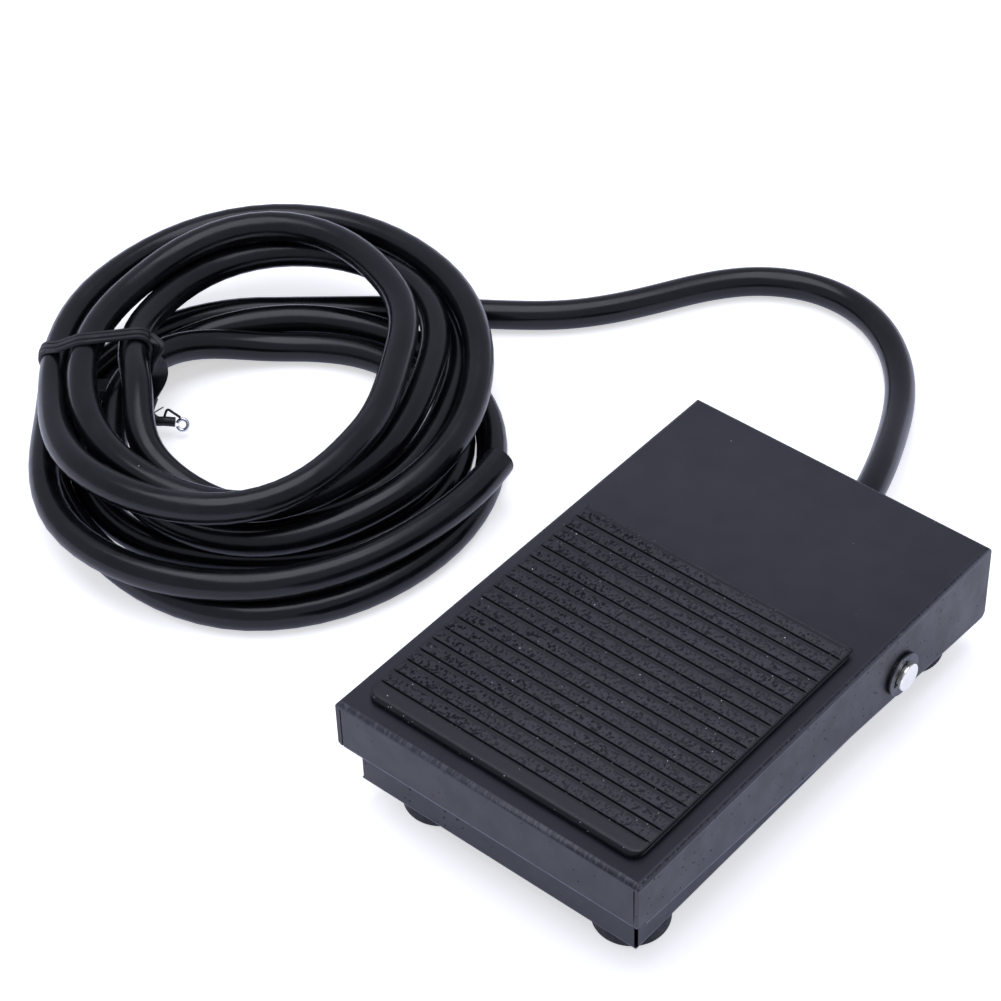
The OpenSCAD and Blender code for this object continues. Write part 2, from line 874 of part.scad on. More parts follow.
// One core from the cable's end, down under the pin, along its lane and in to its terminal
function core_path(i) =
    let (
        from = [i * core_row, tail_end_y, cable_z],
        lane_x = -2 * core_lane + i * core_lane,
        end_y = switch_y + i * term_pitch
    )
    [
        from, from - [0, 1.5, 0], [lane_x + core_lane, pin_y + pin_d / 2 + 1.5, core_z + 1],
        [lane_x, pin_y, core_z], [lane_x, end_y + 4, core_z], [lane_x, end_y + 2.5, core_z],
        [lane_x + 0.3, end_y + 1.2, core_z], [lane_x + 1.2, end_y + 0.2, core_z],
        [-term_t / 2 - 0.3, end_y, core_z], [-term_t / 2, end_y, core_z]
    ];

module core_wires() {
    for (i = [-1, 0, 1])
        color(["#2f55a4", "#7a4a2a", "#7f9a3a"][i + 1])
            tube(core_path(i), core_d / 2, core_sides);
}

module cord_lead() {
    color("#141416")
        tube(lead_route, cable_r, cord_sides);
}

module cord_coil() {
    color("#141416")
        translate([coil_x, coil_y, 0])
            rotate_extrude()
                translate([(coil_r_in + coil_r_out) / 2, coil_h / 2])
                    round_square([coil_r_out - coil_r_in, coil_h], coil_round);
}

module cord_tie() {
    color("#18181a")
        translate([coil_x, coil_y, tie_z])
            rotate([0, 0, tie_angle])
                translate([tie_r, 0, 0])
                    along_y(tie_w)
                        difference() {
                            round_square([tie_span, tie_rise], tie_round);
                            round_square([tie_span - 2 * tie_t, tie_rise - 2 * tie_t], tie_round - tie_t);
                        }
}

pedal_cover();
tread_pad();
striker();
spring_cup();
base_tray();
rubber_feet();
foot_screws();
foot_nuts();
pivot_pin();
retaining_clips();
switch_bracket();
bracket_rivets();
switch_case();
switch_plunger();
switch_terminals();
switch_screws();
switch_nuts();
return_spring();
spring_post();
cable_grommet();
cable_clamp();
clamp_screw();
cable_tail();
core_wires();
cord_lead();
cord_coil();
cord_tie();
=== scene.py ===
"""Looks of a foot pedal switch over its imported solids.

Metres, +Z up, +X along the pivot pin, origin on the floor under the middle of the pedal.
"""

import logging
import math
from collections.abc import Sequence
from dataclasses import dataclass
from enum import Enum
from typing import Any

import bmesh
import bpy
import numpy as np
from mathutils import Matrix, Vector


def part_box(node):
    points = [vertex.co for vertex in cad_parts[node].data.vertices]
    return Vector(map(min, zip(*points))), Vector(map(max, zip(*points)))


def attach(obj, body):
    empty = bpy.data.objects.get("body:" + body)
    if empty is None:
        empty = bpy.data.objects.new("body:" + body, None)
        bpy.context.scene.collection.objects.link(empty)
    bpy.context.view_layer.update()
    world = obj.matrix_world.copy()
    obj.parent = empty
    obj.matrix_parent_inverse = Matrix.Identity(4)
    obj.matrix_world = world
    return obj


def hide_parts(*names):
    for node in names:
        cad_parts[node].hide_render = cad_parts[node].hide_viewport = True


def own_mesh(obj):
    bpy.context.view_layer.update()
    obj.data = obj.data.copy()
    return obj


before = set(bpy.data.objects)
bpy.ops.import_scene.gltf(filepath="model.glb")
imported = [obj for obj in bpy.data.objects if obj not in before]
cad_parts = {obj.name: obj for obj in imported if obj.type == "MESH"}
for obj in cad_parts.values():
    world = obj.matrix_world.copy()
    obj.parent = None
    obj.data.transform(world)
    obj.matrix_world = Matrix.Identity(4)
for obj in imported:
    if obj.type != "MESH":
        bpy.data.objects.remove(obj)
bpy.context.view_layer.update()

MM = 0.001
UM = 1e-6
WELD = 1e-6
FACE_MARKS = ("edge", "fold", "fold_line", "fold_front", "wall")
LOG = logging.getLogger("foot_pedal_switch")

Color = tuple[float, float, float]
Point = tuple[float, float, float]
Spot = tuple[float, float]
Socket = bpy.types.NodeSocket


class Body(Enum):
    """The bodies that pieces ride on."""

    BASE = "base"
    PEDAL = "pedal"


class Slot(Enum):
    """The record's material slots."""

    PAINT = "black_paint"
    TREAD = "tread_rubber"
    FOOT = "foot_rubber"
    PIN = "bright_pin"
    CLIP = "clip_steel"
    ZINC = "zinc_plate"
    SPRING = "spring_steel"
    BRASS = "terminal_brass"
    CASE = "switch_plastic"
    PLUNGER = "plunger_plastic"
    NYLON = "clamp_nylon"
    JACKET = "cable_jacket"
    CORE = "core_insulation"
    TIE = "tie_plastic"


@dataclass(frozen=True)
class Specks:
    """Scattered round specks: their mean spacing, largest radius, share of the places filled, and offset."""

    spacing: float
    radius: float
    share: float
    shift: float = 0.0


class Graph:
    """A node tree with short calls that add and wire its nodes."""

    def __init__(self, tree: bpy.types.NodeTree) -> None:
        """Keeps the tree that the calls fill."""
        self.tree = tree
        self.place: Socket | None = None

    def feed(self, socket: Socket, value: Any) -> None:
        """Links a socket to another socket or sets its own value.

        Args:
            socket: Input that takes the value.
            value: Another socket, a number, a vector or a colour of three numbers.
        """
        if isinstance(value, bpy.types.NodeSocket):
            self.tree.links.new(value, socket)
        elif socket.type == "RGBA":
            socket.default_value = (*value, 1.0)
        else:
            socket.default_value = value

    def add(self, kind: str, inputs: dict[int | str, Any] | None = None, **settings: Any) -> bpy.types.Node:
        """Adds one node.

        Args:
            kind: Blender's name of the node type.
            inputs: Values or sockets by input name or place.
            **settings: Properties of the node itself.

        Returns:
            The new node.
        """
        node = self.tree.nodes.new(kind)
        for name, value in settings.items():
            setattr(node, name, value)
        for key, value in (inputs or {}).items():
            self.feed(node.inputs[key], value)
        return node

    def math(self, operation: str, first: Any, second: Any = 0.0) -> Socket:
        """The result of one arithmetic step on two numbers."""
        return self.add("ShaderNodeMath", {0: first, 1: second}, operation=operation).outputs[0]

    def vector(self, operation: str, first: Any, second: Any) -> Socket:
        """The vector of one step on two vectors, or the number of a distance or dot product."""
        node = self.add("ShaderNodeVectorMath", {0: first, 1: second}, operation=operation)
        return node.outputs["Value" if operation in ("DISTANCE", "DOT_PRODUCT") else "Vector"]

    def scaled(self, by: Point) -> Socket:
        """The pattern's coordinates stretched by a factor on each axis."""
        return self.vector("MULTIPLY", self.place, by)

    def axis(self, index: int) -> Socket:
        """One of the pattern's three coordinates."""
        return self.add("ShaderNodeSeparateXYZ", {0: self.place}).outputs[index]

    def blend(self, amount: Any, first: Any, second: Any) -> Socket:
        """A colour between two others.

        Args:
            amount: 0 for the first colour to 1 for the second.
            first: A colour or a socket.
            second: A colour or a socket.

        Returns:
            The blended colour.
        """
        node = self.add("ShaderNodeMix", data_type="RGBA")
        for place, value in ((0, amount), (6, first), (7, second)):
            self.feed(node.inputs[place], value)
        return node.outputs[2]

    def noise(self, size: float, detail: float = 2.0, place: Socket | None = None) -> Socket:
        """Smooth noise.

        Args:
            size: Size of its features in metres.
            detail: Octaves of finer noise.
            place: Coordinates other than the pattern's own.

        Returns:
            A value around 0.5.
        """
        inputs = {"Vector": place or self.place, "Scale": 1.0 / size, "Detail": detail}
        return self.add("ShaderNodeTexNoise", inputs).outputs[0]

    def ramp(
        self, value: Any, low: Any, high: Any, start: Any = 0.0, end: Any = 1.0, way: str = "SMOOTHSTEP"
    ) -> Socket:
        """A step from one value to another.

        Args:
            value: What is stepped.
            low: Value at which the step begins.
            high: Value at which it ends.
            start: Result below the step.
            end: Result above it.
            way: Blender's name of how it goes between them.

        Returns:
            The stepped value.
        """
        inputs = {"Value": value, "From Min": low, "From Max": high, "To Min": start, "To Max": end}
        return self.add("ShaderNodeMapRange", inputs, interpolation_type=way).outputs[0]


class Shader(Graph):
    """A principled material on object coordinates, built from a few kinds of layer."""

    def __init__(self, name: str) -> None:
        """Starts a material.

        Args:
            name: Its name.
        """
        self.material = bpy.data.materials.new(name)
        self.material.use_nodes = True
        super().__init__(self.material.node_tree)
        self.surface = self.tree.nodes["Principled BSDF"]
        self.place = self.add("ShaderNodeTexCoord").outputs["Object"]

    def put(self, socket: str, value: Any) -> None:
        """Sets or links one input of the surface shader."""
        self.feed(self.surface.inputs[socket], value)

    def attribute(self, name: str) -> Socket:
        """A number kept on the piece's own mesh."""
        return self.add("ShaderNodeAttribute", attribute_name=name).outputs["Fac"]

    def masked(self, name: str, pattern: Socket) -> Socket:
        """A pattern that shows only as far as a number kept on the mesh."""
        return self.math("MULTIPLY", self.attribute(name), pattern)

    def mottle(self, size: float, detail: float, place: Socket | None = None) -> Socket:
        """Soft patches of 0 and 1."""
        return self.ramp(self.noise(size, detail, place), 0.35, 0.65)

    def gloss(self, pattern: Socket, smoothest: float, roughest: float) -> None:
        """Lets the roughness follow a noise between two values."""
        self.put("Roughness", self.ramp(pattern, 0.3, 0.7, smoothest, roughest))

    def specks(self, kind: Specks) -> Socket:
        """Scattered round specks.

        Args:
            kind: How large they are and how they lie.

        Returns:
            1 on a speck and 0 beside it.
        """
        size = kind.radius / kind.spacing
        moved = self.vector("ADD", self.place, (kind.shift,) * 3)
        cells = self.add("ShaderNodeTexVoronoi", {"Vector": moved, "Scale": 1.0 / kind.spacing})
        pick = self.add("ShaderNodeSeparateColor", {0: cells.outputs["Color"]})
        held = self.math("LESS_THAN", pick.outputs[0], kind.share)
        reach = self.math("MULTIPLY", self.math("ADD", pick.outputs[1], 1.0), 0.5 * size)
        inside = self.math("SUBTRACT", reach, cells.outputs["Distance"])
        return self.math("MULTIPLY", held, self.ramp(inside, 0.0, 0.3 * size))

    def relief(self, *layers: tuple[Socket, float]) -> None:
        """Raises the surface.

        Args:
            *layers: Pairs of a 0 to 1 pattern and its height in metres.
        """
        total: Any = 0.0
        for pattern, height in layers:
            total = self.math("ADD", total, self.math("MULTIPLY", pattern, height))
        self.put("Normal", self.add("ShaderNodeBump", {"Distance": 1.0, "Height": total}).outputs[0])


class Recipe(Graph):
    """A geometry node tree with named sizes, run once to make a plain mesh."""

    def __init__(self, name: str) -> None:
        """Starts an empty tree.

        Args:
            name: Its name.
        """
        super().__init__(bpy.data.node_groups.new(name, "GeometryNodeTree"))
        self.sizes: dict[str, Any] = {}
        self.socket("Geometry", "INPUT", "NodeSocketGeometry")
        self.socket("Geometry", "OUTPUT", "NodeSocketGeometry")
        self.entry = self.add("NodeGroupInput")

    def socket(self, name: str, way: str, kind: str) -> str:
        """Declares one input or output and gives back its identifier."""
        return self.tree.interface.new_socket(name, in_out=way, socket_type=kind).identifier

    def size(self, name: str, value: float | int | bpy.types.Material) -> Socket:
        """Declares a named input.

        Args:
            name: Its name in the tree.
            value: What the modifier sets it to.

        Returns:
            The socket that gives the value inside the tree.
        """
        kinds = {float: "NodeSocketFloat", int: "NodeSocketInt"}
        self.sizes[self.socket(name, "INPUT", kinds.get(type(value), "NodeSocketMaterial"))] = value
        return self.entry.outputs[name]

    def keep(self, shape: Socket, name: str, value: Socket) -> Socket:
        """Stores a number of each point.

        Args:
            shape: The geometry.
            name: Name that the number is kept under.
            value: The number.

        Returns:
            The geometry with the number on it.
        """
        inputs = {0: shape, "Name": name, "Value": value}
        node = self.add("GeometryNodeStoreNamedAttribute", inputs, data_type="FLOAT", domain="POINT")
        return node.outputs[0]

    def run(self, start: bpy.types.Mesh, shape: Socket, finish: bpy.types.Material) -> bpy.types.Mesh:
        """Ends the tree and evaluates it on a mesh.

        Args:
            start: Mesh that enters the tree.
            shape: Socket that carries the finished geometry.
            finish: Material of the result.

        Returns:
            The result as a plain mesh.
        """
        real = self.add("GeometryNodeRealizeInstances", {0: shape})
        inputs = {0: real.outputs[0], "Material": self.size("Finish", finish)}
        dressed = self.add("GeometryNodeSetMaterial", inputs)
        self.add("NodeGroupOutput", {0: dressed.outputs[0]})
        holder = bpy.data.objects.new(self.tree.name, start)
        bpy.context.scene.collection.objects.link(holder)
        modifier = holder.modifiers.new(self.tree.name, "NODES")
        modifier.node_group = self.tree
        for identifier, value in self.sizes.items():
            modifier[identifier] = value
        return evaluated(holder)


def evaluated(holder: bpy.types.Object) -> bpy.types.Mesh:
    """Turns an object with modifiers into a plain mesh and removes the object.

    Args:
        holder: The object.

    Returns:
        Its mesh with the modifiers applied.
    """
    graph = bpy.context.evaluated_depsgraph_get()
    mesh = bpy.data.meshes.new_from_object(
        holder.evaluated_get(graph), preserve_all_data_layers=True, depsgraph=graph
    )
    bpy.data.objects.remove(holder)
    return mesh


def add_piece(
    name: str,
    mesh: bpy.types.Mesh,
    body: Body,
    finish: bpy.types.Material,
    stands_for: Sequence[str] = (),
) -> bpy.types.Object:
    """Adds a finished mesh to the object.

    Args:
        name: Name of the piece.
        mesh: Its mesh, in place.
        body: Body that it rides on.
        finish: Its material.
        stands_for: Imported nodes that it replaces.

    Returns:
        The new object.
    """
    mesh.name = name
    mesh.materials.clear()
    mesh.materials.append(finish)
    piece = bpy.data.objects.new(name, mesh)
    bpy.context.scene.collection.objects.link(piece)
    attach(piece, body.value)
    if stands_for:
        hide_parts(*stands_for)
    LOG.info("%s: %d faces on %s", name, len(mesh.polygons), body.value)
    return piece


def closed_mesh(name: str, shape: bmesh.types.BMesh, smooth_below: float = 40.0) -> bpy.types.Mesh:
    """Turns an edited shape into a mesh with outward faces.

    Args:
        name: Name of the mesh.
        shape: The shape, which is freed.
        smooth_below: Angle in degrees under which neighbouring faces shade as one.

    Returns:
        The mesh.
    """
    bmesh.ops.recalc_face_normals(shape, faces=shape.faces)
    mesh = bpy.data.meshes.new(name)
    shape.to_mesh(mesh)
    shape.free()
    mesh.polygons.foreach_set("use_smooth", [True] * len(mesh.polygons))
    mesh.set_sharp_from_angle(angle=math.radians(smooth_below))
    return mesh


def keep_values(mesh: bpy.types.Mesh, name: str, values: Sequence[float]) -> None:
    """Keeps a number for each point of a mesh under a name."""
    mesh.attributes.new(name, "FLOAT", "POINT").data.foreach_set("value", values)


def skin(shape: bmesh.types.BMesh, rings: Sequence[Sequence[Vector]]) -> None:
    """Joins rings of points into a tube and closes both ends.

    Args:
        shape: Shape that takes the faces.
        rings: Rings with the same number of points, in order.
    """
    rows = [[shape.verts.new(point) for point in ring] for ring in rings]
    count = len(rows[0])
    for lower, upper in zip(rows, rows[1:]):
        for i in range(count):
            j = (i + 1) % count
            shape.faces.new((lower[i], lower[j], upper[j], upper[i]))
    shape.faces.new(rows[0][::-1])
    shape.faces.new(rows[-1])


def turned(shape: bmesh.types.BMesh, outline: Sequence[Spot], place: Matrix, sides: int) -> None:
    """Adds a solid of revolution.

    Args:
        shape: Shape that takes the faces.
        outline: Radius and height of each ring, from one end to the other.
        place: Where its axis goes.
        sides: Number of sides.
    """
    angles = [math.tau * i / sides for i in range(sides)]
    rings = [
        [place @ Vector((radius * math.cos(a), radius * math.sin(a), height)) for a in angles]
        for radius, height in outline
    ]
    skin(shape, rings)


@dataclass(frozen=True)
class PaintFinish:
    """Satin black paint on folded sheet steel: orange peel, pits, dust, strained folds and edges worn by
    rubbing, with a painted highlight along the lower edges, a painted reflection on the bends and painted
    shade towards the front and right of the top.
    """

    dark: Color = (0.0090, 0.0096, 0.0140)
    pale: Color = (0.0125, 0.0132, 0.0188)
    dust: Color = (0.30, 0.30, 0.31)
    pit: Color = (0.0025, 0.0025, 0.0035)
    # Colour of the painted highlight on the lower edges and rims, and of rubbing on the upper edges.
    rubbed_and_edge_highlight: Color = (0.125, 0.132, 0.180)
    fleck: Color = (0.120, 0.124, 0.138)
    # Painted reflection of the white floor on the bends, lightest where a bend turns to the side.
    painted_fold_reflection: Color = (0.064, 0.067, 0.080)
    strained: Color = (0.060, 0.063, 0.076)
    # A lighter round patch at the front-right top corner.
    corner_patch: Color = (0.100, 0.104, 0.112)
    corner_patch_at: Point = (32.1 * MM, -49.2 * MM, 23.4 * MM)
    corner_patch_radius: float = 0.55 * MM
    dust_specks: Specks = Specks(2.6 * MM, 0.13 * MM, 0.35)
    pit_specks: Specks = Specks(1.5 * MM, 0.30 * MM, 0.50, 3.1)
    fleck_specks: Specks = Specks(0.9 * MM, 0.22 * MM, 0.6, 5.3)
    cloud_size: float = 22 * MM
    peel_size: float = 0.9 * MM
    grain_size: float = 0.16 * MM
    rub_and_highlight_size: float = 1.4 * MM
    gloss_size: float = 5 * MM
    hatch_size: float = 0.36 * MM
    hatch_way: Point = (1.0, 0.2, 0.2)
    hatch_span: Spot = (0.46, 0.62)
    crack_size: float = 0.48 * MM
    crack_way: Point = (0.4, 1.0, 0.4)
    crack_span: Spot = (0.40, 0.60)
    crack_strength: Spot = (0.10, 0.45)
    rub_and_highlight_span: Spot = (0.30, 0.62)
    rub_and_highlight_strength: Spot = (0.55, 1.0)
    peel_height: float = 10 * UM
    grain_height: float = 2.5 * UM
    pit_height: float = -45 * UM
    dust_height: float = 30 * UM
    hatch_height: float = 6 * UM
    crack_height: float = -12 * UM
    # Painted shade across the top: its way, its span, and the sheen at its darker and lighter ends.
    painted_shade_way: Point = (-100.0, 110.0, 0.0)
    painted_shade_span: Spot = (-11.0, 8.0)
    painted_shade_darkest: float = 0.56
    painted_shade_lightest: float = 1.1
    sheen: float = 0.5
    mark_sheen: float = 0.10
    smoothest: float = 0.34
    roughest: float = 0.44

    def material(self) -> bpy.types.Material:
        """Builds the material.

        Returns:
            The new material.
        """
        s = Shader(Slot.PAINT.value)
        dust = s.specks(self.dust_specks)
        pits = s.masked("wall", s.specks(self.pit_specks))
        flecks = s.masked("fold_line", s.specks(self.fleck_specks))
        hatch = s.noise(self.hatch_size, 1.0, s.scaled(self.hatch_way))
        hatch = s.masked("fold_front", s.ramp(hatch, *self.hatch_span))
        crack = s.noise(self.crack_size, 2.0, s.scaled(self.crack_way))
        crack = s.masked("fold_line", s.ramp(crack, *self.crack_span, *self.crack_strength))
        marks = s.math("MAXIMUM", pits, crack)
        # Edge mark: rubbing on the upper edges, painted highlight on the lower edges and on the rims at the
        # foot of the walls.
        rub_and_highlight = s.masked("edge", s.ramp(s.noise(self.rub_and_highlight_size, 3.0), *self.rub_and_highlight_span, *self.rub_and_highlight_strength))
        away = s.vector("DISTANCE", s.place, self.corner_patch_at)
        color = s.blend(s.mottle(self.cloud_size, 4.0), self.dark, self.pale)
        layers = (
            # Painted reflection on the bends.
            (s.attribute("fold"), self.painted_fold_reflection),
            (rub_and_highlight, self.rubbed_and_edge_highlight),
            (hatch, self.strained),
            (s.ramp(away, self.corner_patch_radius, 0.5 * self.corner_patch_radius), self.corner_patch),
            (marks, self.pit),
            (flecks, self.fleck),
            (dust, self.dust),
        )
        for mask, tint in layers:
            color = s.blend(mask, color, tint)
        s.put("Base Color", color)
        s.gloss(s.noise(self.gloss_size, 4.0), self.smoothest, self.roughest)
        s.put("IOR", 1.5)
        # Painted shade: the top's sheen falls towards the front and right, which darkens it there; the walls
        # keep full sheen.
        along = s.vector("DOT_PRODUCT", s.place, self.painted_shade_way)
        across = s.ramp(along, *self.painted_shade_span, self.painted_shade_darkest, self.painted_shade_lightest)
        level = s.math("MAXIMUM", s.attribute("wall"), across)
        sheen = s.ramp(marks, 0.0, 1.0, self.sheen, self.mark_sheen)
        s.put("Specular IOR Level", s.math("MULTIPLY", sheen, level))
        s.relief(
            (s.noise(self.peel_size), self.peel_height),
            (s.noise(self.grain_size, 1.0), self.grain_height),
            (pits, self.pit_height),
            (dust, self.dust_height),
            (hatch, self.hatch_height),
            (crack, self.crack_height),
        )
        return s.material


@dataclass(frozen=True)
class TreadFinish:
    """Worn black rubber: smooth on the ribs' ramps, torn and grainy on their tops, dust in the grooves, with
    painted shade on the ramps, in the grooves and towards the left, and painted shadow in the pits of the
    torn tops.
    """

    dark: Color = (0.0040, 0.0040, 0.0054)
    worn: Color = (0.0275, 0.0275, 0.0325)
    painted_shade_left: Color = (0.0140, 0.0140, 0.0190)
    dust: Color = (0.55, 0.55, 0.55)
    dust_specks: Specks = Specks(2.0 * MM, 0.16 * MM, 0.45)
    caught_specks: Specks = Specks(0.85 * MM, 0.15 * MM, 0.7, 1.7)
    patch_size: float = 9 * MM
    crumb_size: float = 0.42 * MM
    crumb_way: Point = (1.0, 0.65, 0.65)
    fine_size: float = 0.14 * MM
    wave_size: float = 2.2 * MM
    patch_span: Spot = (0.38, 0.62)
    least_torn: float = 0.75
    crumb_span: Spot = (0.54, 0.38)
    # Span, right-hand share and sheen cut of the painted pit shadows.
    pit_shadow_span: Spot = (-24 * MM, 6 * MM)
    pit_shadow_right: float = 0.75
    left_shade_span: Spot = (-22 * MM, 0.0)
    groove_shade_span: Spot = (-27 * MM, -8 * MM)
    groove_shade_strength: Spot = (0.50, 0.66)
    pit_shadow_share: float = 0.85
    sheen: float = 0.5
    shaded_sheen: float = 0.08
    crumb_height: float = 60 * UM
    fine_height: float = 6 * UM
    dust_height: float = 40 * UM
    wave_height: float = 25 * UM
    smooth: float = 0.42
    rough: float = 0.60

    def material(self) -> bpy.types.Material:
        """Builds the material.

        Returns:
            The new material.
        """
        s = Shader(Slot.TREAD.value)
        side = s.axis(0)
        patches = s.ramp(s.noise(self.patch_size, 3.0), *self.patch_span, self.least_torn, 1.0)
        torn = s.masked("worn", patches)
        crumb = s.noise(self.crumb_size, 1.0, s.scaled(self.crumb_way))
        # Painted shadow in the pits of the torn tops: darker colour and less sheen, more of it towards the
        # left.
        painted_pit_shadows = s.math("MULTIPLY", torn, s.ramp(crumb, *self.crumb_span))
        painted_pit_shadows = s.math("MULTIPLY", painted_pit_shadows, s.ramp(side, *self.pit_shadow_span, 1.0, self.pit_shadow_right))
        caught = s.masked("groove", s.specks(self.caught_specks))
        dust = s.math("MAXIMUM", caught, s.specks(self.dust_specks))
        # Painted shade: the worn tops darken towards the left.
        color = s.blend(s.ramp(side, *self.left_shade_span), self.painted_shade_left, self.worn)
        # Lighter worn tops against darker smooth ramps: partly worn rubber, partly painted shade on the
        # ramps.
        color = s.blend(torn, self.dark, color)
        color = s.blend(painted_pit_shadows, color, self.dark)
        s.put("Base Color", s.blend(dust, color, self.dust))
        s.put("Roughness", s.ramp(torn, 0.0, 1.0, self.smooth, self.rough))
        s.put("IOR", 1.5)
        # Painted shade in the grooves, on the ribs' steep fronts and on the lip's nose: less sheen, a little
        # more towards the right.
        cut = s.masked("groove", s.ramp(side, *self.groove_shade_span, *self.groove_shade_strength))
        deep = s.math("MAXIMUM", s.math("MULTIPLY", painted_pit_shadows, self.pit_shadow_share), cut)
        s.put("Specular IOR Level", s.ramp(deep, 0.0, 1.0, self.sheen, self.shaded_sheen))
        s.relief(
            (s.math("MULTIPLY", torn, crumb), self.crumb_height),
            (s.noise(self.fine_size), self.fine_height),
            (dust, self.dust_height),
            (s.noise(self.wave_size), self.wave_height),
        )
        return s.material


@dataclass(frozen=True)
class RubberFinish:
    """Moulded rubber of the feet and the grommet: matte, faintly mottled, dusty."""

    name: str
    dark: Color = (0.008, 0.008, 0.009)
    pale: Color = (0.017, 0.017, 0.019)
    dust: Color = (0.12, 0.12, 0.12)
    dust_specks: Specks = Specks(1.6 * MM, 0.10 * MM, 0.30)
    mottle_size: float = 3 * MM
    gloss_size: float = 1.2 * MM
    grain_size: float = 0.25 * MM
    grain_height: float = 8 * UM
    dust_height: float = 25 * UM
    smoothest: float = 0.52
    roughest: float = 0.68

    def material(self) -> bpy.types.Material:
        """Builds the material.

        Returns:
            The new material.
        """
        s = Shader(self.name)
        dust = s.specks(self.dust_specks)
        color = s.blend(s.mottle(self.mottle_size, 4.0), self.dark, self.pale)
        s.put("Base Color", s.blend(dust, color, self.dust))
        s.gloss(s.noise(self.gloss_size, 3.0), self.smoothest, self.roughest)
        s.relief((s.noise(self.grain_size), self.grain_height), (dust, self.dust_height))
        return s.material


@dataclass(frozen=True)
class MetalFinish:
    """Bare or plated metal with fine marks along one direction and a little tarnish."""

    name: str
    bright: Color
    dull: Color
    grain: Point = (1.0, 1.0, 1.0)
    smoothest: float = 0.18
    roughest: float = 0.34
    mark_size: float = 0.35 * MM
    tarnish_size: float = 2.5 * MM
    tarnish_span: Spot = (0.40, 0.70)
    wave_size: float = 0.9 * MM
    mark_height: float = 2 * UM
    wave_height: float = 3 * UM

    def material(self) -> bpy.types.Material:
        """Builds the material.

        Returns:
            The new material.
        """
        s = Shader(self.name)
        marks = s.noise(self.mark_size, 3.0, s.scaled(self.grain))
        tarnish = s.ramp(s.noise(self.tarnish_size, 4.0), *self.tarnish_span)
        s.put("Base Color", s.blend(tarnish, self.bright, self.dull))
        s.put("Metallic", 1.0)
        s.gloss(marks, self.smoothest, self.roughest)
        s.relief((marks, self.mark_height), (s.noise(self.wave_size), self.wave_height))
        return s.material


@dataclass(frozen=True)
class MouldedFinish:
    """Moulded plastic with a fine spark-eroded texture and slight flow shading."""

    name: str
    deep: Color
    light: Color
    smoothest: float = 0.36
    roughest: float = 0.50
    flow_size: float = 6 * MM
    flow_way: Point = (1.0, 1.0, 0.4)
    gloss_size: float = 0.8 * MM
    texture_size: float = 0.22 * MM
    texture_height: float = 5 * UM

    def material(self) -> bpy.types.Material:
        """Builds the material.

        Returns:
            The new material.
        """
        s = Shader(self.name)
        flow = s.mottle(self.flow_size, 3.0, s.scaled(self.flow_way))
        s.put("Base Color", s.blend(flow, self.deep, self.light))
        s.gloss(s.noise(self.gloss_size, 3.0), self.smoothest, self.roughest)
        s.relief((s.noise(self.texture_size), self.texture_height))
        return s.material


@dataclass(frozen=True)
class JacketFinish:
    """Glossy black cable sheath: faint draw lines, long waves, handling haze and pale scuffs."""

    deep: Color = (0.0022, 0.0023, 0.0030)
    haze: Color = (0.0048, 0.0050, 0.0066)
    scuff: Color = (0.22, 0.22, 0.23)
    scuff_specks: Specks = Specks(5 * MM, 0.22 * MM, 0.10)
    haze_size: float = 14 * MM
    haze_span: Spot = (0.38, 0.66)
    gloss_size: float = 7 * MM
    wave_size: float = 9 * MM
    grain_size: float = 0.3 * MM
    lines_round: float = 26.0
    lines_along: float = 12.0
    line_height: float = 7 * UM
    wave_height: float = 45 * UM
    grain_height: float = 2 * UM
    scuff_height: float = 12 * UM
    smoothest: float = 0.17
    roughest: float = 0.28
    sheen: float = 0.38

    def material(self) -> bpy.types.Material:
        """Builds the material.

        Returns:
            The new material.
        """
        s = Shader(Slot.JACKET.value)
        around = s.math("MULTIPLY", s.attribute("around"), self.lines_round)
        along = s.math("MULTIPLY", s.attribute("along"), self.lines_along)
        lines = s.noise(1.0, 1.0, s.add("ShaderNodeCombineXYZ", {0: around, 1: along}).outputs[0])
        scuff = s.specks(self.scuff_specks)
        color = s.blend(s.ramp(s.noise(self.haze_size, 4.0), *self.haze_span), self.deep, self.haze)
        s.put("Base Color", s.blend(scuff, color, self.scuff))
        s.gloss(s.noise(self.gloss_size, 4.0), self.smoothest, self.roughest)
        s.put("Specular IOR Level", self.sheen)
        s.relief(
            (lines, self.line_height),
            (s.noise(self.wave_size), self.wave_height),
            (s.noise(self.grain_size), self.grain_height),
            (scuff, self.scuff_height),
        )
        return s.material


@dataclass(frozen=True)
class CoreFinish:
    """Brown insulation of the cable's cores."""

    sheath: Color = (0.115, 0.028, 0.018)
    shade: Color = (0.070, 0.018, 0.012)
    shade_size: float = 2 * MM
    gloss_size: float = 1 * MM
    grain_size: float = 0.3 * MM
    grain_height: float = 4 * UM
    smoothest: float = 0.32
    roughest: float = 0.46

    def material(self) -> bpy.types.Material:
        """Builds the material.

        Returns:
            The new material.
        """
        s = Shader(Slot.CORE.value)
        s.put("Base Color", s.blend(s.mottle(self.shade_size, 3.0), self.sheath, self.shade))
        s.gloss(s.noise(self.gloss_size, 3.0), self.smoothest, self.roughest)
        s.relief((s.noise(self.grain_size), self.grain_height))
        return s.material


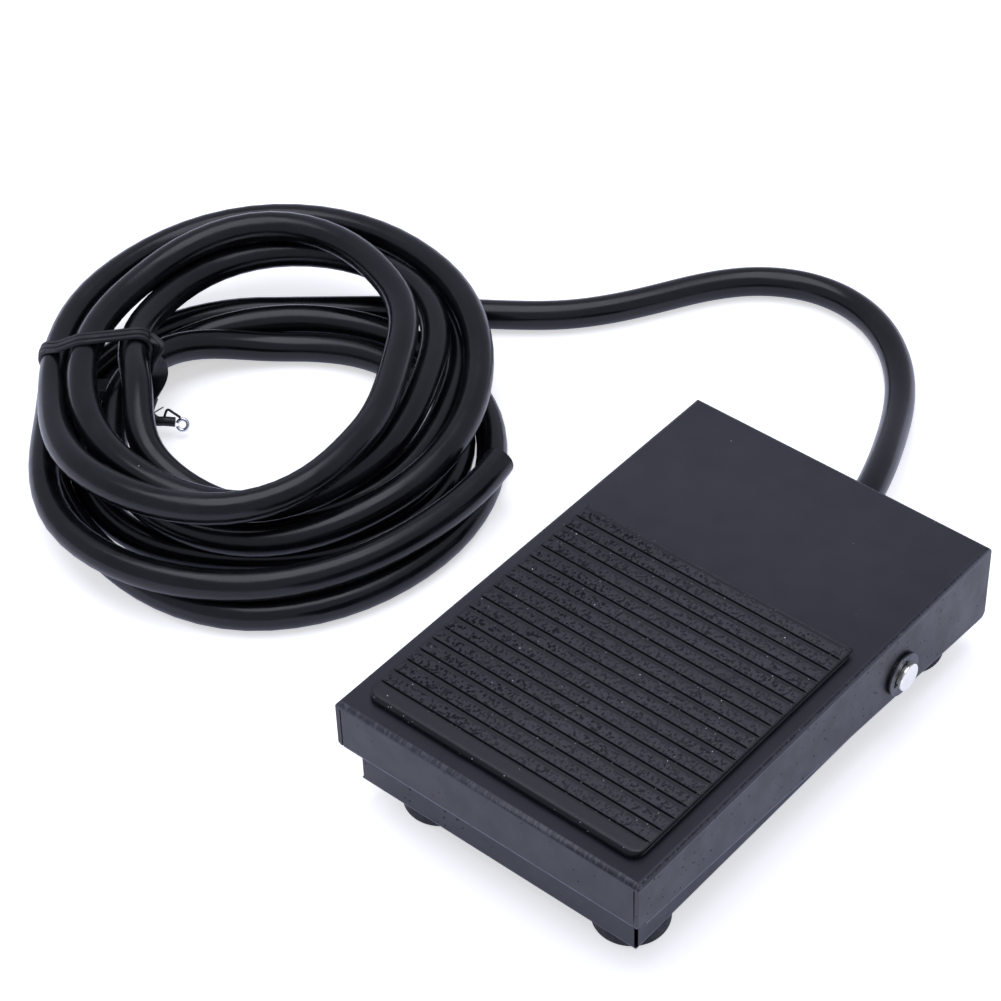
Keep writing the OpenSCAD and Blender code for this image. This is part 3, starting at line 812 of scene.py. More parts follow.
@dataclass(frozen=True)
class TieFinish:
    """Flat plastic strip of the tie: dull black with fine lengthwise ribs and creases."""

    deep: Color = (0.0080, 0.0082, 0.0095)
    pale: Color = (0.0180, 0.0182, 0.0205)
    ribs: float = 9.0
    shade_size: float = 2.5 * MM
    shade_span: Spot = (0.4, 0.66)
    crease_size: float = 1.1 * MM
    grain_size: float = 0.2 * MM
    rib_height: float = 12 * UM
    crease_height: float = 50 * UM
    grain_height: float = 5 * UM
    smoothest: float = 0.40
    roughest: float = 0.56

    def material(self) -> bpy.types.Material:
        """Builds the material.

        Returns:
            The new material.
        """
        s = Shader(Slot.TIE.value)
        wave = s.math("SINE", s.math("MULTIPLY", s.attribute("across"), math.tau * self.ribs))
        crease = s.noise(self.crease_size, 3.0)
        shade = s.ramp(s.noise(self.shade_size, 4.0), *self.shade_span)
        s.put("Base Color", s.blend(shade, self.deep, self.pale))
        s.gloss(crease, self.smoothest, self.roughest)
        s.relief(
            (s.ramp(wave, -1.0, 1.0), self.rib_height),
            (crease, self.crease_height),
            (s.noise(self.grain_size), self.grain_height),
        )
        return s.material


@dataclass(frozen=True)
class FloorFinish:
    """White paper sweep that shows white to the eye, bluish to reflections, and keeps the shadow."""

    white: Color = (0.86, 0.86, 0.85)
    seen: Color = (0.57, 0.566, 0.562)
    mirrored: Color = (0.26, 0.28, 0.42)
    roughness: float = 0.9

    def material(self) -> bpy.types.Material:
        """Builds the material.

        Returns:
            The new material.
        """
        s = Shader("paper_sweep")
        rays = s.add("ShaderNodeLightPath").outputs
        shown = s.math("MAXIMUM", rays["Is Camera Ray"], rays["Is Glossy Ray"])
        s.put("Base Color", self.white)
        s.put("Roughness", self.roughness)
        s.put("Specular IOR Level", 0.0)
        s.put("Emission Color", s.blend(rays["Is Camera Ray"], self.mirrored, self.seen))
        s.put("Emission Strength", s.math("MAXIMUM", shown, rays["Is Transmission Ray"]))
        return s.material


class Finishes:
    """Every finish of the object, made once and found by its slot."""

    def __init__(self) -> None:
        """Builds the materials."""
        made = {
            Slot.PAINT: PaintFinish(),
            Slot.TREAD: TreadFinish(),
            Slot.FOOT: RubberFinish(Slot.FOOT.value),
            Slot.PIN: MetalFinish(
                Slot.PIN.value, (1.0, 0.98, 0.86), (0.96, 0.94, 0.82), (0.15, 1.0, 1.0), 0.16, 0.30
            ),
            Slot.CLIP: MetalFinish(
                Slot.CLIP.value, (0.140, 0.143, 0.152), (0.090, 0.092, 0.098), (1.0, 1.0, 1.0), 0.36, 0.52
            ),
            Slot.ZINC: MetalFinish(Slot.ZINC.value, (0.62, 0.64, 0.66), (0.48, 0.50, 0.53), roughest=0.42),
            Slot.SPRING: MetalFinish(Slot.SPRING.value, (0.50, 0.51, 0.53), (0.36, 0.37, 0.39)),
            Slot.BRASS: MetalFinish(Slot.BRASS.value, (0.72, 0.58, 0.32), (0.56, 0.42, 0.22)),
            Slot.CASE: MouldedFinish(Slot.CASE.value, (0.012, 0.012, 0.014), (0.018, 0.018, 0.021)),
            Slot.PLUNGER: MouldedFinish(Slot.PLUNGER.value, (0.34, 0.020, 0.014), (0.42, 0.030, 0.020)),
            Slot.NYLON: MouldedFinish(Slot.NYLON.value, (0.66, 0.63, 0.54), (0.74, 0.71, 0.62)),
            Slot.JACKET: JacketFinish(),
            Slot.CORE: CoreFinish(),
            Slot.TIE: TieFinish(),
        }
        self.by_slot = {slot: finish.material() for slot, finish in made.items()}
        self.copper = MetalFinish("cut_copper", (0.72, 0.33, 0.18), (0.50, 0.22, 0.12)).material()
        self.bare_wire = MetalFinish("bare_wire", (0.86, 0.87, 0.88), (0.70, 0.71, 0.73)).material()

    def __getitem__(self, slot: Slot) -> bpy.types.Material:
        """The material of one slot."""
        return self.by_slot[slot]


@dataclass
class Studio:
    """White paper floor, soft light and the camera."""

    camera_at: Point = (0.22427, -0.29574, 0.39466)
    camera_turn: Point = (0.82595, 0.02671, 0.70092)
    lens: float = 109.667
    sensor: float = 36.0
    clip_end: float = 100.0
    floor_half: float = 4.0
    sky: Color = (0.86, 0.90, 1.10)
    sky_level: float = 0.55
    backdrop: Color = (1.0, 1.0, 1.0)
    lamp: Color = (0.93, 0.95, 1.08)
    aim: Point = (-0.06, 0.02, 0.0)
    overhead_at: Point = (-0.15, 0.05, 1.35)
    overhead_side: float = 1.1
    overhead_power: float = 8.5
    fill_at: Point = (-1.5, 0.3, 0.9)
    fill_side: float = 0.8
    fill_power: float = 5.0

    def build(self) -> None:
        """Sets the stage."""
        scene = bpy.context.scene
        scene.view_settings.view_transform = "Standard"
        self.place_camera(scene)
        self.lay_floor(scene)
        self.light_room(scene)
        LOG.info("studio ready")

    def place_camera(self, scene: bpy.types.Scene) -> None:
        """Puts the camera at the photograph's point of view.

        Args:
            scene: Scene that takes it.
        """
        data = bpy.data.cameras.new("camera")
        data.lens = self.lens
        data.sensor_width = self.sensor
        data.clip_end = self.clip_end
        camera = bpy.data.objects.new("camera", data)
        camera.location = self.camera_at
        camera.rotation_euler = self.camera_turn
        scene.collection.objects.link(camera)
        scene.camera = camera

    def lay_floor(self, scene: bpy.types.Scene) -> None:
        """Lays the paper that the object stands on.

        Args:
            scene: Scene that takes it.
        """
        mesh = bpy.data.meshes.new("floor")
        h = self.floor_half
        mesh.from_pydata([(-h, -h, 0.0), (h, -h, 0.0), (h, h, 0.0), (-h, h, 0.0)], [], [(0, 1, 2, 3)])
        mesh.materials.append(FloorFinish().material())
        floor = bpy.data.objects.new("floor", mesh)
        scene.collection.objects.link(floor)

    def light_room(self, scene: bpy.types.Scene) -> None:
        """Hangs soft boxes in a pale room that shows white behind the object.

        Args:
            scene: Scene that takes the room.
        """
        world = bpy.data.worlds.new("pale_room")
        world.use_nodes = True
        sky = Graph(world.node_tree)
        background = world.node_tree.nodes["Background"]
        seen = sky.add("ShaderNodeLightPath").outputs["Is Camera Ray"]
        sky.feed(background.inputs["Color"], sky.blend(seen, self.sky, self.backdrop))
        sky.feed(background.inputs["Strength"], sky.math("MAXIMUM", seen, self.sky_level))
        scene.world = world
        self.soft_box("overhead", self.overhead_at, self.overhead_side, self.overhead_power)
        fill = self.soft_box("left_fill", self.fill_at, self.fill_side, self.fill_power)
        fill.visible_glossy = False

    def soft_box(self, name: str, at: Point, side: float, power: float) -> bpy.types.Object:
        """Hangs one square light that faces the object.

        Args:
            name: Name of the light.
            at: Its place.
            side: Length of its side.
            power: Its power in watts.

        Returns:
            The light.
        """
        data = bpy.data.lights.new(name, "AREA")
        data.size = side
        data.energy = power
        data.color = self.lamp
        light = bpy.data.objects.new(name, data)
        light.location = at
        light.rotation_euler = (Vector(self.aim) - Vector(at)).to_track_quat("-Z", "Y").to_euler()
        bpy.context.scene.collection.objects.link(light)
        return light


def swept_wire(
    name: str, path: np.ndarray, radius: float, sides: int, finish: bpy.types.Material
) -> bpy.types.Mesh:
    """Sweeps a round wire along a path with geometry nodes.

    Args:
        name: Name of the tree.
        path: Points of the centre line.
        radius: Radius of the wire.
        sides: Sides of its section.
        finish: Its material.

    Returns:
        A closed tube that keeps its place along and around the wire as attributes.
    """
    line = bpy.data.meshes.new(name)
    line.from_pydata([tuple(p) for p in path], [(i, i + 1) for i in range(len(path) - 1)], [])
    recipe = Recipe(name)
    thick = recipe.size("Radius", float(radius))
    count = recipe.size("Sides", int(sides))
    curve = recipe.add("GeometryNodeMeshToCurve", {0: recipe.entry.outputs[0]})
    spot = recipe.add("GeometryNodeSplineParameter")
    kept = recipe.keep(curve.outputs[0], "along", spot.outputs["Length"])
    ring = recipe.add("GeometryNodeCurvePrimitiveCircle", {"Resolution": count, "Radius": thick})
    turn = recipe.keep(ring.outputs[0], "around", spot.outputs["Factor"])
    tube = recipe.add("GeometryNodeCurveToMesh", {"Curve": kept, "Profile Curve": turn, "Fill Caps": True})
    smooth = recipe.add("GeometryNodeSetShadeSmooth", {0: tube.outputs[0]})
    return recipe.run(line, smooth.outputs[0], finish)


def distances(line: np.ndarray) -> np.ndarray:
    """Distance along a line at each of its points."""
    return np.concatenate([[0.0], np.cumsum(np.linalg.norm(np.diff(line, axis=0), axis=1))])


def through(stations: np.ndarray, places: np.ndarray) -> np.ndarray:
    """Values of a smooth curve that passes through stations one step apart.

    Args:
        stations: One row per station.
        places: Where along the stations the values are wanted.

    Returns:
        One row per place.
    """
    padded = np.vstack([2 * stations[0] - stations[1], stations, 2 * stations[-1] - stations[-2]])
    first = np.clip(np.floor(places).astype(int), 0, len(stations) - 2)
    f = (places - first)[:, None]
    a, b, c, d = (padded[first + i] for i in range(4))
    return 0.5 * (2 * b + (c - a) * f + (2 * a - 5 * b + 4 * c - d) * f**2 + (3 * b - a - 3 * c + d) * f**3)


def eased(line: np.ndarray, spread: int) -> np.ndarray:
    """Rounds a line by averaging each point with its neighbours.

    Args:
        line: Points an even step apart, with their ends carried straight on.
        spread: How many neighbours count on each side.

    Returns:
        The rounded line, without the ends that have too few neighbours.
    """
    weights = np.hanning(2 * spread + 3)[1:-1]
    weights /= weights.sum()
    return np.stack([np.convolve(row, weights, mode="valid") for row in line.T], axis=1)


@dataclass
class CableRun:
    """The free cable: the lead from the rear of the tray, its loose coil and the cut end."""

    diameter: float = 6.0 * MM
    exit_y: float = 54.7 * MM
    exit_z: float = 9.45 * MM
    lead_step: float = 1.5 * MM
    lead_spread: int = 6
    coil_at: Spot = (-106 * MM, 8 * MM)
    first_bearing: float = 130.0
    bearing_step: float = 45.0
    last_bearing: float = 21.2
    points_per_step: int = 9
    slack: float = 0.05 * MM
    turn_gap: float = 36 * MM
    settle_rounds: int = 200
    spread: int = 6
    sides: int = 24

    def lead_way(self) -> list[Point]:
        """The lead from the exit: right, rearward, and share of the exit's height over the floor."""
        return [
            (0, 0, 1), (0, 4, 1), (-3.9, 15.3, 0.82), (-8.2, 24.9, 0.48), (-12.5, 33.6, 0.17),
            (-17.5, 42, 0.02), (-24.1, 49.5, 0), (-32.6, 55.2, 0), (-42.4, 57.5, 0), (-52.1, 55.8, 0),
            (-60.6, 50.5, 0), (-67, 42.6, 0), (-71.9, 33.8, 0), (-77.1, 25.3, 0), (-83.5, 17.7, 0),
            (-91.4, 11.6, 0), (-99.6, 6, 0), (-108, 0.3, 0), (-116, -5.7, 0),
        ]

    def turns(self) -> list[list[Spot]]:
        """Reach from the coil's middle and rise of the cable's centre, eight to a turn, in millimetres."""
        return [
            [(38, 0), (40, 0), (40.8, 0), (42.4, 0), (49.5, 0), (48, 0), (44, 0), (38.5, 3.5)],
            [(33, 5), (34, 0), (35.5, 0), (36.4, 0), (35, 0), (38.5, 0), (38, 0), (31, 0)],
            [(26.5, 0), (27.8, 8.2), (27.8, 11.6), (32.5, 9.5), (36.5, 9), (38, 11), (41.5, 13), (48, 15.5)],
            [(52.8, 15), (46.5, 15), (39.6, 15), (40.5, 18.5), (38, 19), (29, 20), (26.5, 20), (35, 20)],
            [(44, 20), (38, 18), (33.8, 18), (33, 16.5), (33, 14.5), (30, 14), (31.5, 15), (41.5, 15)],
            [(43.5, 14), (32.5, 15.2), (23.4, 17.4), (26.2, 13.5), (28.5, 9), (31.5, 8), (36, 9), (47, 9)],
            [(50.5, 10), (48.5, 9), (41, 9), (47.2, 9), (48.2, 9), (46.8, 9), (50.4, 9)],
        ]

    def lead(self) -> np.ndarray:
        """Rounds the lead's route where it turns.

        Returns:
            Points of the lead an even step apart.
        """
        low = self.diameter / 2
        way = np.array([
            (right * MM, self.exit_y + back * MM, low + share * (self.exit_z - low))
            for right, back, share in self.lead_way()
        ])
        more = self.lead_step * self.lead_spread
        ahead = way[-1] + more * (way[-1] - way[-2]) / np.linalg.norm(way[-1] - way[-2])
        way = np.vstack([way[0] - (0.0, more, 0.0), way, ahead])
        reach = distances(way)
        steps = np.arange(0.0, reach[-1], self.lead_step)
        return eased(np.stack([np.interp(steps, reach, axis) for axis in way.T], axis=1), self.lead_spread)

    def coil(self) -> np.ndarray:
        """Lays the coil's turns in smooth curves through their stations.

        Returns:
            Points of the coil before it settles.
        """
        stations = np.array([spot for turn in self.turns() for spot in turn]) * MM
        stations[:, 1] = np.maximum(stations[:, 1], self.diameter / 2)
        sweep = 360 * len(self.turns()) + self.last_bearing - self.first_bearing
        steps = np.append(np.arange(0, sweep, self.bearing_step / self.points_per_step), sweep)
        reach, rise = through(stations, steps / self.bearing_step).T
        bearing = np.radians(self.first_bearing + steps)
        x, y = self.coil_at
        return np.stack([x + reach * np.cos(bearing), y + reach * np.sin(bearing), rise], axis=1)

    def settled(self, route: np.ndarray, fixed: int) -> np.ndarray:
        """Pushes the turns a diameter apart, in long bends, without moving the lead.

        Args:
            route: Points from the exit to the cut end.
            fixed: Number of points that stay.

        Returns:
            The route with its turns clear of each other and of the floor.
        """
        gap = self.diameter + self.slack
        reach = distances(route)
        apart = np.abs(reach[:, None] - reach[None, :]) > self.turn_gap
        hold = np.clip((np.arange(len(route)) - fixed) / (2.0 * self.spread), 0.0, 1.0)[:, None]
        shift = np.zeros_like(route)
        for _ in range(self.settle_rounds):
            now = route + shift
            across = now[:, None] - now[None]
            far = np.linalg.norm(across, axis=2)
            near = apart & (far < gap)
            push = np.where(near, (gap - far) / np.maximum(far, 1e-9), 0.0)[..., None] * across
            shift += 0.5 * push.sum(axis=1) / np.maximum(near.sum(axis=1), 1)[:, None]
            padded = np.pad(shift, ((self.spread, self.spread), (0, 0)), mode="edge")
            shift = (0.5 * shift + 0.5 * eased(padded, self.spread)) * hold
            shift[:, 2] = np.maximum(shift[:, 2], self.diameter / 2 - route[:, 2])
        return route + shift

    def route(self) -> np.ndarray:
        """The whole centre line from the exit to the cut end."""
        lead = self.lead()
        return self.settled(np.vstack([lead, self.coil()]), len(lead))

    def build(self, finishes: Finishes) -> tuple[bpy.types.Object, np.ndarray]:
        """Makes the cable.

        Args:
            finishes: The object's finishes.

        Returns:
            The new piece and its centre line.
        """
        path = self.route()
        mesh = swept_wire("cable_sweep", path, self.diameter / 2, self.sides, finishes[Slot.JACKET])
        piece = add_piece(
            "cable_run", mesh, Body.BASE, finishes[Slot.JACKET], ("cord_lead", "cord_coil")
        )
        return piece, path


@dataclass
class CutEnd:
    """The sawn end of the cable: the sheath's rim and two cores with copper strands."""

    sheath_radius: float = 3.012 * MM
    wall: float = 0.85 * MM
    core_radius: float = 1.05 * MM
    core_bore: float = 0.8 * MM
    core_offset: float = 1.08 * MM
    core_proud: float = 0.35 * MM
    strand_radius: float = 0.24 * MM
    strand_ring: float = 0.50 * MM
    strand_proud: float = 0.25 * MM
    strand_sunk: float = 0.1 * MM
    strand_uneven: float = 0.04 * MM
    strands: int = 6
    rim_sides: int = 32
    core_sides: int = 20
    strand_sides: int = 10

    def rim_outline(self) -> list[Spot]:
        """Radius and height of the sheath's rim, from its outside to its hollow."""
        outer, inner = self.sheath_radius / MM, (self.sheath_radius - self.wall) / MM
        return [
            (radius * MM, height * MM)
            for radius, height in (
                (outer - 0.1, -1.2), (outer, -1.1), (outer, 0.1), (outer - 0.12, 0.2),
                (inner, 0.16), (inner - 0.1, 0.02),
            )
        ]

    def core_outline(self) -> list[Spot]:
        """Radius and height of one core with its softened lip."""
        r, lip = self.core_radius, self.core_proud
        return [(r, 0.0), (r, lip - 0.08 * MM), (r - 0.1 * MM, lip), (self.core_bore, lip)]

    def strand_outline(self, top: float) -> list[Spot]:
        """Radius and height of one strand that ends at a given height."""
        r = self.strand_radius
        return [(r, 0.0), (r, top - 0.05 * MM), (r - 0.06 * MM, top)]

    def build(self, path: np.ndarray, finishes: Finishes) -> list[bpy.types.Object]:
        """Makes the pieces of the end.

        Args:
            path: Centre line of the cable, whose last point is the cut.
            finishes: The object's finishes.

        Returns:
            The new pieces.
        """
        tip = Vector(path[-1])
        away = (tip - Vector(path[-4])).normalized()
        face = Matrix.Translation(tip) @ away.to_track_quat("Z", "Y").to_matrix().to_4x4()
        rim, cores, copper = (bmesh.new() for _ in range(3))
        turned(rim, self.rim_outline(), face, self.rim_sides)
        for side in (-1, 1):
            at = face @ Matrix.Translation((side * self.core_offset, 0.0, 0.0))
            turned(cores, self.core_outline(), at, self.core_sides)
            for i in range(self.strands + 1):
                angle = math.tau * i / self.strands
                out = self.strand_ring if i < self.strands else 0.0
                foot = (out * math.cos(angle), out * math.sin(angle), self.core_proud - self.strand_sunk)
                top = self.strand_proud + self.strand_uneven * (i % 3)
                turned(copper, self.strand_outline(top), at @ Matrix.Translation(foot), self.strand_sides)
        parts = (
            ("cable_cut_rim", rim, Slot.JACKET, finishes[Slot.JACKET]),
            ("cable_cut_cores", cores, Slot.CORE, finishes[Slot.CORE]),
            ("cable_cut_strands", copper, Slot.CORE, finishes.copper),
        )
        return [
            add_piece(name, closed_mesh(name, shape), Body.BASE, finish)
            for name, shape, slot, finish in parts
        ]


@dataclass(frozen=True)
class TiePlane:
    """The upright plane that the tie lies in: a point of it, its way out of the coil and across it."""

    stand: Vector
    out: Vector
    across: Vector

    def place(self, reach: float, rise: float, along: float = 0.0) -> Vector:
        """A point by its reach out of the coil, its rise and its distance beside the plane."""
        return self.stand + self.out * reach + Vector((0.0, 0.0, rise)) + self.across * along


@dataclass
class TwistTie:
    """Flat strip that binds four turns of the coil, with its twisted tail and two ends."""

    bearing: float = 205.0
    reach: float = 41.0 * MM
    heading: float = 218.0
    first_turn: int = 2
    last_turn: int = 5
    width: float = 3.3 * MM
    thickness: float = 0.6 * MM
    bulge: float = 0.12 * MM
    clearance: float = 0.05 * MM
    ring_points: int = 48
    start_slope: float = 1.2
    steepest: float = 0.6
    band_step: float = 0.7 * MM
    first_roll: float = 55.0
    last_roll: float = 360.0
    tail_points: int = 61
    wire_radius: float = 0.36 * MM
    wire_sides: int = 12
    wire_points: int = 8

    def plane(self, run: CableRun) -> TiePlane:
        """Stands the tie's plane on the coil.

        Args:
            run: The cable.

        Returns:
            The plane.
        """
        at, turn = math.radians(self.bearing), math.radians(self.heading)
        x, y = run.coil_at
        return TiePlane(
            Vector((x + self.reach * math.cos(at), y + self.reach * math.sin(at), 0.0)),
            Vector((math.cos(turn), math.sin(turn), 0.0)),
            Vector((-math.sin(turn), math.cos(turn), 0.0)),
        )

    def bundle(self, run: CableRun, path: np.ndarray) -> np.ndarray:
        """Place, height and slant of the bound turns where they cross the tie's plane.

        Args:
            run: The cable.
            path: Its centre line.

        Returns:
            For each turn its place along the plane, its height, and how much the slant widens its section.
        """
        plane = self.plane(run)
        stand, outward, across = (np.array(axis) for axis in (plane.stand, plane.out, plane.across))
        x, y = run.coil_at
        bearing = np.degrees(np.unwrap(np.arctan2(path[:, 1] - y, path[:, 0] - x)))
        start = len(path) - len(run.coil())
        bearing += run.first_bearing - bearing[start]
        off = (path - stand) @ across
        spots = []
        for turn in range(self.first_turn, self.last_turn + 1):
            near = np.abs(bearing - self.bearing - 360.0 * turn) < run.bearing_step
            near[:start] = False
            k = int(np.argmin(np.where(near, np.abs(off), np.inf)))
            step = path[k + 1] - path[k - 1]
            slant = abs(step @ across) / np.linalg.norm(step)
            spots.append(((path[k] - stand) @ outward, path[k, 2], 1.0 / max(slant, self.steepest)))
        return np.array(spots)

    @staticmethod
    def hull_side(order: Sequence[Spot]) -> list[Spot]:
        """One side of the outline that encloses points.

        Args:
            order: The points, sorted from one end to the other.

        Returns:
            The points of that side, without its last.
        """
        kept: list[Spot] = []
        for p in order:
            while len(kept) > 1:
                (ax, ay), (bx, by) = kept[-2], kept[-1]
                if (bx - ax) * (p[1] - ay) - (by - ay) * (p[0] - ax) > 0:
                    break
                kept.pop()
            kept.append(p)
        return kept[:-1]

    def loop(self, spots: np.ndarray, radius: float) -> list[Vector]:
        """The tight loop round the bundle.

        Args:
            spots: Place, height and slant of each turn.
            radius: Radius that the loop keeps from a turn's centre.

        Returns:
            Reach and rise of its points, from the inner top over the outside.
        """
        ring = [math.tau * i / self.ring_points for i in range(self.ring_points)]
        points = sorted(
            (r + wider * radius * math.cos(a), z + radius * math.sin(a))
            for r, z, wider in spots
            for a in ring
        )
        hull = self.hull_side(points) + self.hull_side(points[::-1])
        corner = max(range(len(hull)), key=lambda i: hull[i][1] - self.start_slope * hull[i][0])
        around = hull[corner:] + hull[:corner]
        outline = [Vector((r, z)) for r, z in reversed([*around, around[0]])]
        return self.evenly(outline, self.band_step)

    @staticmethod
    def evenly(points: Sequence[Vector], step: float) -> list[Vector]:
        """The same line with points an even step apart.

        Args:
            points: Points of the line.
            step: Distance that is aimed at.

        Returns:
            The new points.
        """
        reach = [0.0]
        for a, b in zip(points, points[1:]):
            reach.append(reach[-1] + (b - a).length)
        count = max(2, round(reach[-1] / step))
        out, k = [], 0
        for i in range(count + 1):
            want = reach[-1] * i / count
            while k < len(points) - 2 and reach[k + 1] < want:
                k += 1
            span = max(reach[k + 1] - reach[k], 1e-12)
            out.append(points[k].lerp(points[k + 1], (want - reach[k]) / span))
        return out

    def section(self) -> list[Spot]:
        """Section of the strip, flat inside, with two grooves beside the wire's bulge.

        Returns:
            Its points, across the strip and out of it.
        """
        w, t, b = self.width / 2, self.thickness, self.bulge
        half = [(w, 0.6 * t), (0.88 * w, t), (0.52 * w, t), (0.40 * w, 0.45 * t), (0.26 * w, t + b)]
        return [(-w, 0), (w, 0), *half, *((-across, out) for across, out in reversed(half))]

    def strip(
        self, spine: Sequence[Vector], outward: Sequence[Vector], wide: Sequence[Vector]
    ) -> bpy.types.Mesh:
        """Sweeps the section along a spine.

        Args:
            spine: Points of the strip's inner face.
            outward: Direction out of the strip at each point.
            wide: Direction across the strip at each point.

        Returns:
            The strip, with its place across the width as an attribute.
        """
        shape = bmesh.new()
        profile = self.section()
        rings = [
            [p + across * w + out * o for across, out in profile] for p, o, w in zip(spine, outward, wide)
        ]
        skin(shape, rings)
        mesh = closed_mesh("tie_strip", shape)
        keep_values(mesh, "across", [a / self.width + 0.5 for _ in spine for a, _ in profile])
        return mesh

    def build(self, run: CableRun, path: np.ndarray, finishes: Finishes) -> list[bpy.types.Object]:
        """Makes the strip round the bundle, its tail and its ends.

        Args:
            run: The cable that it binds.
            path: The cable's centre line.
            finishes: The object's finishes.

        Returns:
            The new pieces.
        """
        plane = self.plane(run)
        flat = self.loop(self.bundle(run, path), run.diameter / 2 + self.clearance)
        finish = finishes[Slot.TIE]
        return [
            self.band(plane, flat, finish), self.tail(plane, flat[0], finish), *self.ends(plane, finishes)
        ]

    def band(self, plane: TiePlane, flat: Sequence[Vector], finish: bpy.types.Material) -> bpy.types.Object:
        """Makes the strip round the bundle.

        Args:
            plane: The tie's plane.
            flat: Reach and rise of the loop.
            finish: Material of the strip.

        Returns:
            The new piece.
        """
        centre = sum(flat, Vector((0.0, 0.0))) / len(flat)
        spine, outward = [], []
        for i, spot in enumerate(flat):
            step = (flat[min(i + 1, len(flat) - 1)] - flat[max(i - 1, 0)]).normalized()
            normal = Vector((step.y, -step.x))
            if normal.dot(spot - centre) < 0:
                normal.negate()
            spine.append(plane.place(spot.x, spot.y, self.sway(spot.x)))
            outward.append((plane.out * normal.x + Vector((0.0, 0.0, normal.y))).normalized())
        mesh = self.strip(spine, outward, [plane.across] * len(spine))
        return add_piece("tie_band", mesh, Body.BASE, finish, ("cord_tie",))

    def sway(self, reach: float) -> float:
        """How far the band strays across its plane at one reach."""
        spots = [(-20.5, -0.7), (-17.0, -1.9), (-12.0, 0.1), (-6.0, 2.4), (-0.5, 2.0), (3.4, -0.1)]
        return float(np.interp(reach / MM, *zip(*spots))) * MM

    @staticmethod
    def tail_way() -> list[Point]:
        """The tail's way down inside the coil: reach, rise and place across the tie's plane."""
        return [
            (-19.3, 17.4, -0.7), (-18.6, 14.6, -0.6), (-19.1, 11.2, -0.7),
            (-18.8, 8.8, -0.1), (-17.7, 6.0, 1.8),
        ]

    def tail(self, plane: TiePlane, start: Vector, finish: bpy.types.Material) -> bpy.types.Object:
        """Makes the twisted tail.

        Args:
            plane: The tie's plane.
            start: Reach and rise of the band's first point.
            finish: Material of the strip.

        Returns:
            The new piece.
        """
        first = Vector((start.x, start.y, self.sway(start.x)))
        spots = np.array([first / MM, *self.tail_way()]) * MM
        curve = through(spots, np.linspace(0, len(spots) - 1, self.tail_points))
        rolls = np.radians(np.linspace(self.first_roll, self.last_roll, self.tail_points))
        spine, outward, wide = [], [], []
        for roll, (reach, rise, along) in zip(rolls, curve):
            out = -plane.out * math.cos(roll) + plane.across * math.sin(roll)
            spine.append(plane.place(reach, rise, along) - out * self.thickness / 2)
            outward.append(out)
            wide.append(plane.out * math.sin(roll) + plane.across * math.cos(roll))
        return add_piece("tie_tail", self.strip(spine, outward, wide), Body.BASE, finish)

    def ends(self, plane: TiePlane, finishes: Finishes) -> list[bpy.types.Object]:
        """The two cut ends by the tail: a sleeved stub with a bare hooked wire, and two frayed slivers.

        Args:
            plane: The tie's plane.
            finishes: The object's finishes.

        Returns:
            The new pieces.
        """
        tie, wire = finishes[Slot.TIE], finishes.bare_wire
        stub = [(-17.7, 6.0, 1.8), (-17.0, 4.3, 4.2), (-18.4, 3.5, 5.7), (-20.2, 3.5, 5.9), (-22.2, 3.3, 5.9)]
        hook = [
            (-23.6 + 1.05 * math.cos(a), 2.7 + 0.82 * math.sin(a), 6.0 - 0.68 * math.sin(a))
            for a in np.linspace(0.3, 6.0, 25)
        ]
        sliver = [(-20.0, 4.0, 5.6), (-20.7, 5.3, 4.6), (-22.0, 5.0, 5.2), (-23.3, 4.3, 5.7)]
        film = [(-17.8, 4.4, 4.6), (-18.9, 5.0, 4.3), (-19.9, 5.5, 4.0)]
        parts = (
            ("tie_sleeve", stub, 2.7, tie),
            ("tie_wire_hook", hook, 1.0, wire),
            ("tie_sliver", sliver, 0.7, tie),
            ("tie_film", film, 0.4, wire),
        )
        pieces = []
        for name, way, thick, finish in parts:
            spots = np.array([plane.place(*(value * MM for value in spot)) for spot in way])
            line = through(spots, np.linspace(0, len(spots) - 1, self.wire_points * len(spots)))
            mesh = swept_wire(name, line, thick * self.wire_radius, self.wire_sides, finish)
            pieces.append(add_piece(name, mesh, Body.BASE, finish))
        return pieces


def between(value: float, span: Spot) -> bool:
    """Whether a value lies inside a span."""
    return span[0] < value < span[1]


